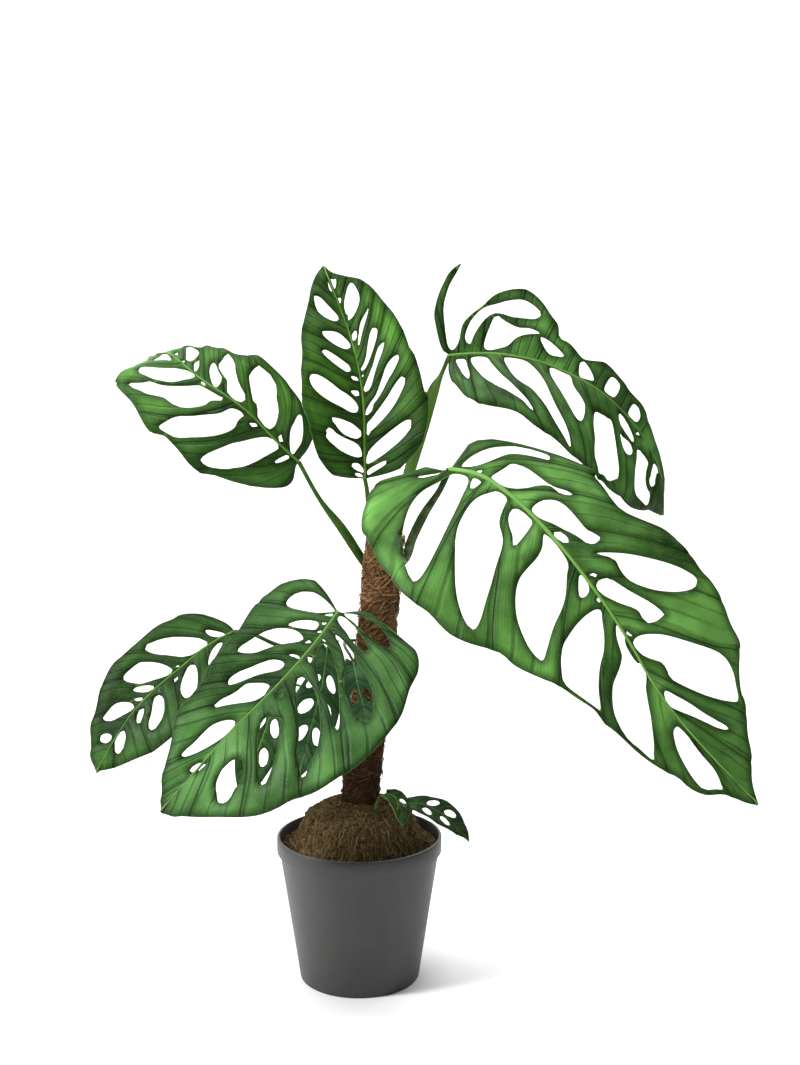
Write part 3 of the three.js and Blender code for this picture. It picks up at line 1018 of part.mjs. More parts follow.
        [[2.21, 0.1], [2.23, 0.16], [2.26, 0.15], [2.27, 0.1], [2.24, 0.08]],
        [
          [2.6, 0.64], [2.7, 0.66], [2.8, 0.64], [2.84, 0.56], [2.8, 0.47], [2.72, 0.38], [2.63, 0.27],
          [2.55, 0.16], [2.47, 0.12], [2.38, 0.18], [2.34, 0.27], [2.36, 0.38], [2.4, 0.5], [2.48, 0.58],
        ],
        [
          [2.82, 0.1], [2.8, 0.15], [2.85, 0.22], [2.95, 0.28], [3.02, 0.32], [3.08, 0.28], [3.07, 0.2],
          [3, 0.12], [2.9, 0.09],
        ],
        [
          [3.8, 0.66], [3.73, 0.62], [3.62, 0.5], [3.55, 0.38], [3.53, 0.25], [3.55, 0.15], [3.65, 0.08],
          [3.8, 0.068], [3.98, 0.09], [4.02, 0.12], [4.02, 0.3], [4, 0.45], [3.93, 0.58], [3.87, 0.64],
        ],
      ],
    },
    petiole: [[-104, -10, 361], [-84, -2, 350], [-50, 12, 336], [-22, 24, 326], [4, 30, 318]],
    petioleSizes: [[2, 2], [2.2, 2.2], [2.6, 2.4], [3.6, 2.8], [3.6, 3], [3.4, 3.2]],
  },
  // younger leaves between leaf_e and the pole
  leaf_g: youngLeaf({
    midrib: [[-30, -34, 352], [-34, -48, 322], [-44, -58, 284], [-58, -62, 228]],
    face: [[-0.3, -0.9, 0.3], [-0.2, -1, 0.1], [-0.1, -1, -0.1]],
    width: 25,
    cells: 4,
    petiole: [[-28, -24, 356], [-28, -4, 348], [-22, 16, 312], [-10, 28, 262], [-1, 30, 244]],
    petioleSizes: THIN,
  }),
  leaf_h: youngLeaf({
    midrib: [[-78, -34, 310], [-88, -50, 282], [-102, -62, 244], [-114, -66, 206]],
    face: [[-0.3, -0.9, 0.3], [-0.2, -1, 0.1], [-0.1, -1, -0.1]],
    width: 22,
    cells: 3,
    petiole: [[-68, -22, 314], [-50, -2, 300], [-30, 18, 262], [-14, 28, 226], [-5, 29, 212]],
    petioleSizes: THIN,
  }),
  leaf_i: youngLeaf({
    midrib: [[-4, -42, 340], [0, -52, 322], [6, -56, 298], [10, -56, 268]],
    face: [[0, -0.9, 0.4], [0, -1, 0.1], [0, -1, -0.1]],
    width: 16,
    cells: 2,
    petiole: [[-8, -34, 346], [-13, -18, 350], [-14, 2, 352], [-6, 20, 350], [8, 29, 348]],
    petioleSizes: THIN,
  }),
  // small leaves that rise from the soil at the right
  leaf_j: youngLeaf({
    midrib: [[28, -36, 204], [37, -42, 202], [43, -48, 191], [45, -50, 174]],
    face: [[-0.2, -0.3, 1], [0.5, -0.6, 0.6], [0.8, -0.7, 0.1]],
    width: 12,
    cells: 2,
    petiole: [[20, -31, 198], [16, -27, 180], [16, -25, 150]],
    petioleSizes: THIN,
  }),
  leaf_k: youngLeaf({
    midrib: [[50, -12, 186], [66, -22, 188], [86, -30, 180], [104, -34, 164], [112, -36, 154]],
    face: [[0, -0.5, 0.9], [0.3, -0.5, 0.8], [0.6, -0.5, 0.6]],
    width: 17,
    cells: 3,
    petiole: [[40, -6, 180], [34, -2, 164], [33, 0, 142]],
    petioleSizes: THIN,
  }),
};

// Pot: tapered wall, stiff rim and drain holes in the floor
function potBody() {
  const top = POT_HEIGHT;
  const rim = top - RIM_HEIGHT;
  const wallAt = (z) => POT_FOOT_RADIUS + ((POT_TOP_RADIUS - RIM_OVERHANG - POT_FOOT_RADIUS) * z) / rim;
  const shell = turned([
    [0, 0], [POT_FOOT_RADIUS - 1.5, 0], [POT_FOOT_RADIUS, 1.5], [wallAt(rim), rim], [POT_TOP_RADIUS, rim],
    [POT_TOP_RADIUS, top - 1], [POT_TOP_RADIUS - 1, top], [POT_TOP_RADIUS - POT_WALL - 1, top],
    [POT_TOP_RADIUS - POT_WALL - 1.5, rim + 2], [wallAt(rim) - POT_WALL, rim - 2],
    [wallAt(POT_FLOOR) - POT_WALL, POT_FLOOR], [0, POT_FLOOR],
  ], 36);
  let body = shell;
  for (let k = 0; k < DRAIN_HOLES; k += 1) {
    const a = (2 * Math.PI * (k + 0.5)) / DRAIN_HOLES;
    const centre = [DRAIN_CIRCLE * Math.cos(a), DRAIN_CIRCLE * Math.sin(a), 0];
    const hole = turned([[0, -2], [DRAIN_HOLE_RADIUS, -2], [DRAIN_HOLE_RADIUS, 5], [0, 5]], 8, centre);
    body = body.subtract(hole);
  }
  return body;
}

// Root ball: fills the pot to SOIL_LEVEL and rises to a mound, with plain holes for what stands in it
function soilBody(standing) {
  const rim = POT_HEIGHT - RIM_HEIGHT;
  const innerAt = (z) => {
    const share = (POT_TOP_RADIUS - RIM_OVERHANG - POT_FOOT_RADIUS) / rim;
    return POT_FOOT_RADIUS + share * z - POT_WALL - SEAT - 0.1;
  };
  const low = POT_FLOOR + SEAT;
  const fill = turned([
    [0, low], [innerAt(low), low], [innerAt(rim - 3), rim - 3], [innerAt(rim - 3), SOIL_LEVEL],
    [MOUND_RADIUS + 5, SOIL_LEVEL + 1], [MOUND_RADIUS - 1, SOIL_LEVEL + 14], [MOUND_RADIUS - 10, MOUND_TOP - 14],
    [MOUND_RADIUS - 26, MOUND_TOP - 5], [MOUND_RADIUS - 42, MOUND_TOP], [0, MOUND_TOP + 1],
  ], 28);
  return standing.reduce((body, item) => body.subtract(item), fill);
}

const lean = [POLE_TOP[0] - POLE_FOOT[0], 0, POLE_TOP[2] - POLE_FOOT[2]];
const poleCourse = (from, to) => [add(POLE_TOP, lean, (from - POLE_TOP[2]) / lean[2]),
  add(POLE_TOP, lean, (to - POLE_TOP[2]) / lean[2])];
const round = (radius) => [[radius, radius], [radius, radius]];
const side = [1, 0, 0];
const low = POLE_FOOT[2];
const high = POLE_TOP[2];

const stakeBody = rod(poleCourse(low - 30, high + STAKE_TOP), round(STAKE_RADIUS), 16, 1, side);
const stakeBore = rod(poleCourse(low - 60, high + 40), round(STAKE_RADIUS + SEAT), 16, 1, side);
const coirBody = rod(poleCourse(low, high), round(POLE_RADIUS), 24, 1, side).subtract(stakeBore);
const stemSizes = [[1, 1], [1, 1]].map(() => [STEM_RADIUS, STEM_RADIUS]);
stemSizes.push([STEM_RADIUS - 2.5, STEM_RADIUS - 2.5]);
const stemBody = rod(STEM, stemSizes, 10, 10, side);
const stemSeat = rod(STEM, stemSizes.map(([a, b]) => [a + SEAT, b + SEAT]), 10, 10, side);

// Clearance around what stands in the soil
const poleHole = rod(poleCourse(low - SEAT, high), round(POLE_RADIUS + SEAT), 24, 1, side);
const stakeHole = rod(poleCourse(low - 30 - SEAT, high), round(STAKE_RADIUS + SEAT), 16, 1, side);
const stemFoot = [add(STEM[0], [0.1, 0, -0.4]), ...STEM.slice(1)];
const stemHole = rod(stemFoot, stemSizes.map(([a, b]) => [a + SEAT, b + SEAT]), 10, 10, side);

const leafBodies = {};
const petioleHoles = [];
for (const [name, leaf] of Object.entries(LEAVES)) {
  let body = leafBody(leaf);
  const foot = leaf.petiole[leaf.petiole.length - 1];
  if (foot[2] > 200) body = body.subtract(stemSeat);
  else {
    petioleHoles.push(petioleRod(leaf, 0.4));
  }
  leafBodies[name] = body;
}

const potNode = potBody();
const soilNode = soilBody([poleHole, stakeHole, stemHole, ...petioleHoles]);

// One named mesh of the part
function node(name, body, color, roughness) {
  const mesh = body.getMesh();
  const count = mesh.vertProperties.length / mesh.numProp;
  const position = new Float32Array(count * 3);
  for (let k = 0; k < count * 3; k += 1) {
    position[k] = mesh.vertProperties[Math.floor(k / 3) * mesh.numProp + (k % 3)];
  }
  const geometry = new THREE.BufferGeometry();
  geometry.setAttribute("position", new THREE.BufferAttribute(position, 3));
  geometry.setIndex(new THREE.BufferAttribute(Uint32Array.from(mesh.triVerts), 1));
  geometry.computeVertexNormals();
  const item = new THREE.Mesh(geometry, new THREE.MeshStandardMaterial({ color, roughness, metalness: 0 }));
  item.name = name;
  return item;
}

const plant = new THREE.Group();
plant.name = "potted_monstera_epipremnoides";
plant.add(node("pot", potNode, 0x2b2b2a, 0.55));
plant.add(node("soil", soilNode, 0x3a2e22, 0.95));
plant.add(node("pole_stake", stakeBody, 0x8a6a45, 0.8));
plant.add(node("pole_coir", coirBody, 0x5f4027, 0.95));
plant.add(node("stem", stemBody, 0x4a5a2c, 0.7));
for (const [name, body] of Object.entries(leafBodies)) plant.add(node(name, body, 0x3d7a35, 0.45));

export default plant;
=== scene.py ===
"""Potted Monstera epipremnoides: perforated leaves on a coir pole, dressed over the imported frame.

Lengths are in millimetres up to the place where a mesh is made, and are multiplied by MM there.
Every object is in metres.
"""
import math
import random

import bmesh
import bpy
from mathutils import Matrix, Vector, kdtree, noise


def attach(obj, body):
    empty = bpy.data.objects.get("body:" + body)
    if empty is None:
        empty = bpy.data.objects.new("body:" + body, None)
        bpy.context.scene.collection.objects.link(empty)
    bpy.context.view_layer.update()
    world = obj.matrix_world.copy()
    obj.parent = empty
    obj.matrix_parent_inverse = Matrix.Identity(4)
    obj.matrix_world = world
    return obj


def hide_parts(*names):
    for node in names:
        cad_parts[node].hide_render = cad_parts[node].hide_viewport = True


bl_info = {
    "name": "Potted Monstera epipremnoides",
    "version": (1, 0, 0),
    "blender": (4, 5, 0),
    "location": "3D View > Sidebar > Monstera",
    "description": "Perforated leaves, coir pole, root ball and pot in one frame",
    "category": "Object",
}

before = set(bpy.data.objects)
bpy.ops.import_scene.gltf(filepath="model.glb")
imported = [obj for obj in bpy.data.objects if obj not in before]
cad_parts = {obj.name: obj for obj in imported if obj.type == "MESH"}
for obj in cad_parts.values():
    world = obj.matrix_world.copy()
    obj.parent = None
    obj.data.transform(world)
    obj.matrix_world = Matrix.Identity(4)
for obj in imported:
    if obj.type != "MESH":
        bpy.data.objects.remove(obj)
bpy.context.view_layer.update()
MM = 0.001
FULL_TURN = 2 * math.pi

# Pole, stem and pot, as in the frame
POLE_FOOT = Vector((-12.5, 0, 60))
POLE_TOP = Vector((27.5, 0, 458))
POLE_RADIUS = 19
STEM_RADIUS = 8
STEM = [(-16, 27, 100), (-11, 28, 160), (-2, 29, 240), (8, 29, 320), (17, 29, 400), (24, 28, 448),
        (27, 26, 466)]
POT_HEIGHT = 150
POT_TOP_RADIUS = 85
POT_FOOT_RADIUS = 62
POT_WALL = 2
POT_FLOOR = 2.5
RIM_HEIGHT = 16
RIM_OVERHANG = 3
DRAIN_HOLES = 8
DRAIN_HOLE_RADIUS = 5
DRAIN_CIRCLE = 42
MOUND = [(84, 140), (68, 142), (62, 155), (53, 172), (37, 181), (21, 186), (0, 187)]

# How far from the pot's axis the crumbs and the threads lie
CRUMB_REACH = 78
THREAD_REACH = 72

# Relief of a large blade: each height, and the distance that it fades over
RIM_DROP, RIM_FADE = 2.6, 4.5
VALLEY_DROP, VALLEY_FADE = 1.5, 3.2
RIPPLE, RIPPLES_PER_VEIN = 0.35, 5
WAVE = 1.5
WARP, WARP_SPACING = 1.6, 36
SKIN = 0.6

# Photograph's viewpoint
CAMERA_PLACE = (42, -1400, 636)
CAMERA_PITCH = 7
SENSOR_WIDTH = 36
CAMERA_LENS = SENSOR_WIDTH * 1400 / 1065


def spline(rows, t):
    """Smooth curve through rows of numbers, t counted in rows."""
    last = len(rows) - 1
    i = min(max(int(math.floor(t)), 0), last - 1)
    f = t - i
    values = []
    for k in range(len(rows[0])):
        p1, p2 = rows[i][k], rows[i + 1][k]
        p0 = rows[i - 1][k] if i > 0 else 2 * p1 - p2
        p3 = rows[i + 2][k] if i + 2 <= last else 2 * p2 - p1
        a = 2 * p0 - 5 * p1 + 4 * p2 - p3
        b = 3 * p1 - p0 - 3 * p2 + p3
        values.append(0.5 * (2 * p1 + (p2 - p0) * f + a * f * f + b * f * f * f))
    return values


def along(values, share):
    """Value of a short list read along 0 to 1."""
    t = min(max(share, 0), 1) * (len(values) - 1)
    i = min(int(t), len(values) - 2)
    return values[i] + (values[i + 1] - values[i]) * (t - i)


class Midrib:
    """A leaf's midrib as a curve with a facing direction along it."""

    def __init__(self, leaf, steps=240):
        rows = leaf["midrib"]
        self.steps = steps
        self.points = [Vector(spline(rows, i / steps * (len(rows) - 1))) for i in range(steps + 1)]
        self.arc = [0.0]
        for i in range(steps):
            self.arc.append(self.arc[i] + (self.points[i + 1] - self.points[i]).length)
        self.length = self.arc[-1]
        self.frames = []
        for i in range(steps + 1):
            ahead = (self.points[min(i + 1, steps)] - self.points[max(i - 1, 0)]).normalized()
            facing = Vector(spline(leaf["face"], self.arc[i] / self.length * (len(leaf["face"]) - 1)))
            up = (facing - ahead * facing.dot(ahead)).normalized()
            self.frames.append((ahead, up))

    def frame(self, x):
        """Point, direction, upward and sideways at x along the midrib."""
        inside = min(max(x, 0), self.length)
        low, high = 0, self.steps
        while high - low > 1:
            middle = (low + high) // 2
            if self.arc[middle] <= inside:
                low = middle
            else:
                high = middle
        f = (inside - self.arc[low]) / (self.arc[high] - self.arc[low])
        ahead = self.frames[low][0].lerp(self.frames[high][0], f).normalized()
        up = self.frames[low][1].lerp(self.frames[high][1], f)
        up = (up - ahead * up.dot(ahead)).normalized()
        here = self.points[low].lerp(self.points[high], f) + ahead * (x - inside)
        return here, ahead, up, ahead.cross(up)


def on_blade(leaf, rib, x, y, off):
    """Point of the bent blade for the flat point x along the midrib and y across it.

    The right side is positive, and off is the distance above the sheet.
    """
    here, _, up, side = rib.frame(x)
    sign = 1 if y >= 0 else -1
    half_blade = leaf["right"] if y >= 0 else leaf["left"]
    share = x / rib.length
    lift = math.radians(along(half_blade["lift"], share))
    curl = math.radians(along(half_blade["curl"], share)) / 100 or 1e-6
    end = lift - curl * abs(y)
    out = (math.sin(lift) - math.sin(end)) / curl
    rise = (math.cos(end) - math.cos(lift)) / curl
    normal = up * math.cos(end) - side * (sign * math.sin(end))
    return here + side * (sign * out) + up * rise + normal * off


def on_vein(half_blade, v, q):
    """Flat point of a half blade.

    v counts lateral veins from the base, and q runs from 0 at the midrib to 1 at the vein's end.
    """
    foot, end_x, end_y = spline(half_blade["veins"], v)
    bend = half_blade["bow"] * math.hypot(end_x - foot, end_y)
    middle = (foot + end_x) / 2 - bend
    x = (1 - q) ** 2 * foot + 2 * q * (1 - q) * middle + q * q * end_x
    return x, q * (1 - q) * end_y + q * q * end_y


def smoothed(points, closed, parts=4):
    """Smooth curve through the points of an outline, in vein numbers and shares."""
    rows = [points[-1], *points, points[0], points[1]] if closed else points
    first, last = (1, len(points) + 1) if closed else (0, len(points) - 1)
    steps = (last - first) * parts
    return [spline(rows, first + k / parts) for k in range(steps + (0 if closed else 1))]


def pairs(row):
    """Points of an outline, from a flat row of a vein number and a share for each."""
    return list(zip(row[::2], row[1::2]))


def half(bow, lift, curl, veins, margin, windows):
    """Half a blade: how its veins bow, how it lifts and curls, its veins and its outlines."""
    return {"bow": bow, "lift": lift, "curl": curl, "veins": veins, "margin": pairs(margin),
            "windows": [pairs(window) for window in windows]}


def round_window(v, wide, low, high):
    """Window of a young leaf: an oval around vein number v, from share low to high."""
    turns = [math.pi * (k + 0.5) / 3 for k in range(6)]
    return [(v + wide * math.cos(a), (low + high) / 2 + (high - low) / 2 * math.sin(a)) for a in turns]


# Half widths of a young leaf's petiole, from the blade down
THIN = [(1.4, 1.4), (1.5, 1.5), (1.8, 1.8), (2.2, 2.2)]


def young_leaf(midrib, face, width, cells, petiole):
    """A young leaf of plain outline, from its length, width and count of cells."""
    span = Midrib({"midrib": midrib, "face": face}).length
    veins = [(0, -0.07 * span, width * 0.45)]
    for k in range(1, cells + 1):
        u = (k - 0.35) / (cells + 0.4)
        reach = width * math.sin(math.pi * u ** 0.8) ** 0.8
        veins.append((span * u * 0.86, span * (0.1 + 0.9 * u), reach))
    veins.append((span, span, 0))
    side = {
        "bow": 0.1, "lift": [14] * 3, "curl": [40, 40, 30], "veins": veins,
        "margin": [(k / 2, 1) for k in range(2 * cells + 1)],
        "windows": [round_window(k + 0.5, 0.27, 0.14, 0.72) for k in range(1, cells)],
    }
    return dict(midrib=midrib, face=face, rib=1.3, right=side, left=side, petiole=petiole, sizes=THIN)

# Leaves. Veins are rows of foot on the midrib, end along it, end across it. Margins and windows
# are outlines: each point is a vein number, and its share of the way out along the vein.
# Sizes are half widths across and through the petiole, from the blade down.
LEAVES = {}

# Upper left, facing the front, its tip folded back
LEAVES["leaf_a"] = dict(
    midrib=[(-58, -20, 537), (-82, -38, 562), (-102, -50, 585), (-126, -56, 604), (-149, -52, 619),
            (-170, -40, 635), (-184, -24, 643), (-197, -7, 643)],
    face=[(-0.3, -0.85, 0.45), (-0.1, -0.85, 0.5), (0, -0.75, 0.65), (0, -0.5, 0.9)],
    rib=1.9,
    right=half(
        bow=0.12, lift=[16, 14, 10], curl=[20, 18, 30],
        veins=[(0, 8, 29), (20, 60, 44), (62, 107, 46), (103, 145, 37), (125, 163, 29), (153, 190, 18),
               (211, 211, 0)],
        margin=[0,1.1, 0.6,1.12, 0.8,1.07, 1,1.05, 1.1,1.08, 1.5,1.11, 1.7,1.09, 1.85,1.05, 2,1, 2.2,0.96,
                2.4,0.94, 2.6,0.98, 2.9,1.01, 3.3,1, 3.9,0.985, 4.3,0.95, 4.6,0.95, 4.85,0.93, 5.3,0.88,
                5.6,0.85],
        windows=[
            [0.5,0.92, 0.42,0.8, 0.37,0.65, 0.35,0.45, 0.4,0.3, 0.47,0.14, 0.52,0.05, 0.65,0.033, 0.78,0.08,
             0.88,0.2, 0.93,0.35, 0.9,0.47, 0.82,0.6, 0.73,0.75, 0.62,0.87],
            [1.14,0.1, 1.2,0.17, 1.28,0.16, 1.32,0.1, 1.27,0.05, 1.2,0.04],
            [1.45,0.9, 1.6,0.91, 1.72,0.93, 1.82,0.88, 1.95,0.8, 2.05,0.72, 2.15,0.62, 2.17,0.5, 2.17,0.38,
             2.15,0.27, 2.05,0.25, 2.02,0.15, 2,0.07, 1.85,0.05, 1.7,0.05, 1.58,0.1, 1.5,0.2, 1.47,0.35,
             1.47,0.5, 1.52,0.6, 1.48,0.72, 1.44,0.82],
            [2.6,0.89, 2.52,0.84, 2.46,0.76, 2.5,0.65, 2.52,0.52, 2.48,0.4, 2.4,0.3, 2.34,0.24, 2.4,0.15,
             2.48,0.09, 2.6,0.05, 2.75,0.05, 2.88,0.1, 2.87,0.2, 2.83,0.34, 2.9,0.4, 2.97,0.46, 3.06,0.56,
             3.06,0.6, 2.98,0.66, 2.88,0.72, 2.78,0.8, 2.7,0.87],
            [3.2,0.6, 3.35,0.6, 3.45,0.58, 3.55,0.5, 3.65,0.4, 3.68,0.3, 3.66,0.2, 3.6,0.1, 3.5,0.04,
             3.38,0.038, 3.28,0.08, 3.15,0.18, 3.05,0.28, 3.01,0.38, 3.08,0.42, 3.13,0.48, 3.17,0.55],
            [4.25,0.52, 4.3,0.48, 4.42,0.42, 4.52,0.35, 4.56,0.25, 4.58,0.15, 4.57,0.1, 4.5,0.13, 4.4,0.2,
             4.32,0.3, 4.27,0.4],
            [4.18,0.78, 4.3,0.82, 4.45,0.87, 4.55,0.89, 4.7,0.88, 4.8,0.83, 4.83,0.75, 4.85,0.6, 4.88,0.45,
             4.9,0.35, 4.85,0.3, 4.75,0.32, 4.6,0.4, 4.5,0.47, 4.4,0.55, 4.3,0.64, 4.22,0.71],
            [4.98,0.27, 5.03,0.22, 5.08,0.14, 5.1,0.08, 5.05,0.1, 5,0.18],
            [5.22,0.52, 5.27,0.5, 5.32,0.4, 5.35,0.3, 5.34,0.2, 5.28,0.24, 5.24,0.34],
        ],
    ),
    left=half(
        bow=0.1, lift=[12, 10, 10], curl=[18, 22, 40],
        veins=[(0, -1, 32), (7, 87, 79), (54, 113, 72), (91, 143, 69), (128, 173, 63), (157, 188, 35),
               (211, 211, 0)],
        margin=[-0.07,0.3, -0.1,0.65, -0.02,1, 0.2,1.12, 0.5,1.15, 0.73,1.12, 0.85,1.06, 1,1.01, 1.2,0.98,
                1.5,0.975, 1.9,1.01, 2.28,1, 2.33,1.07, 2.5,1.06, 2.8,1.02, 3.1,0.99, 3.4,0.975, 3.9,1.01,
                4.05,1.01, 4.2,1.06, 4.35,1.12, 5,1.15, 5.3,1.1, 5.4,0.9, 5.6,0.96, 5.8,1],
        windows=[
            [0.83,0.83, 1,0.845, 1.2,0.86, 1.35,0.87, 1.5,0.83, 1.62,0.76, 1.7,0.65, 1.75,0.5, 1.75,0.35,
             1.77,0.2, 1.75,0.08, 1.68,0.02, 1.5,0.02, 1.4,0.06, 1.36,0.15, 1.28,0.27, 1.15,0.4, 1,0.52,
             0.9,0.64, 0.82,0.74],
            [0.97,0.17, 1,0.21, 1.08,0.19, 1.15,0.1, 1.17,0.05, 1.1,0.03, 1.02,0.06],
            [2.05,0.06, 2.08,0.1, 2.18,0.11, 2.22,0.09, 2.15,0.045, 2.08,0.04],
            [2.25,0.93, 2.4,0.95, 2.52,0.96, 2.62,0.93, 2.73,0.87, 2.85,0.8, 2.95,0.73, 2.99,0.65,
             2.95,0.55, 2.92,0.45, 2.87,0.35, 2.85,0.25, 2.88,0.15, 2.85,0.1, 2.72,0.07, 2.52,0.07,
             2.48,0.13, 2.42,0.2, 2.3,0.27, 2.22,0.35, 2.18,0.5, 2.19,0.7, 2.2,0.85],
            [3.92,0.88, 4,0.88, 4.07,0.85, 4.1,0.78, 4.15,0.7, 4.18,0.65, 4.13,0.6, 4.05,0.54, 4,0.45,
             3.97,0.35, 3.95,0.25, 3.92,0.15, 3.85,0.1, 3.6,0.08, 3.35,0.07, 3.17,0.055, 3.22,0.12,
             3.3,0.18, 3.28,0.24, 3.22,0.32, 3.22,0.45, 3.28,0.55, 3.4,0.59, 3.55,0.6, 3.62,0.66, 3.65,0.73,
             3.75,0.78, 3.85,0.83],
            [3.77,0.04, 3.85,0.06, 3.93,0.055, 3.97,0.03, 3.88,0.025],
            [4.6,0.8, 4.8,0.8, 4.82,0.65, 4.83,0.5, 4.85,0.35, 4.83,0.22, 4.75,0.12, 4.62,0.05, 4.45,0.025,
             4.28,0.03, 4.22,0.08, 4.2,0.2, 4.15,0.32, 4.15,0.42, 4.22,0.52, 4.3,0.6, 4.4,0.68, 4.5,0.77],
            [5.25,0.6, 5.32,0.65, 5.4,0.58, 5.5,0.48, 5.6,0.35, 5.68,0.2, 5.75,0.146, 5.68,0.114, 5.5,0.08,
             5.3,0.12, 5.18,0.17, 5.2,0.3, 5.22,0.45],
        ],
    ),
    petiole=[(-38, -12, 499), (-17, 4, 468), (2, 19, 436), (19, 29, 410)],
    sizes=[(2.2, 2.2), (2.4, 2.4), (4.6, 2.8), (4.6, 3), (4, 3.4)],
)

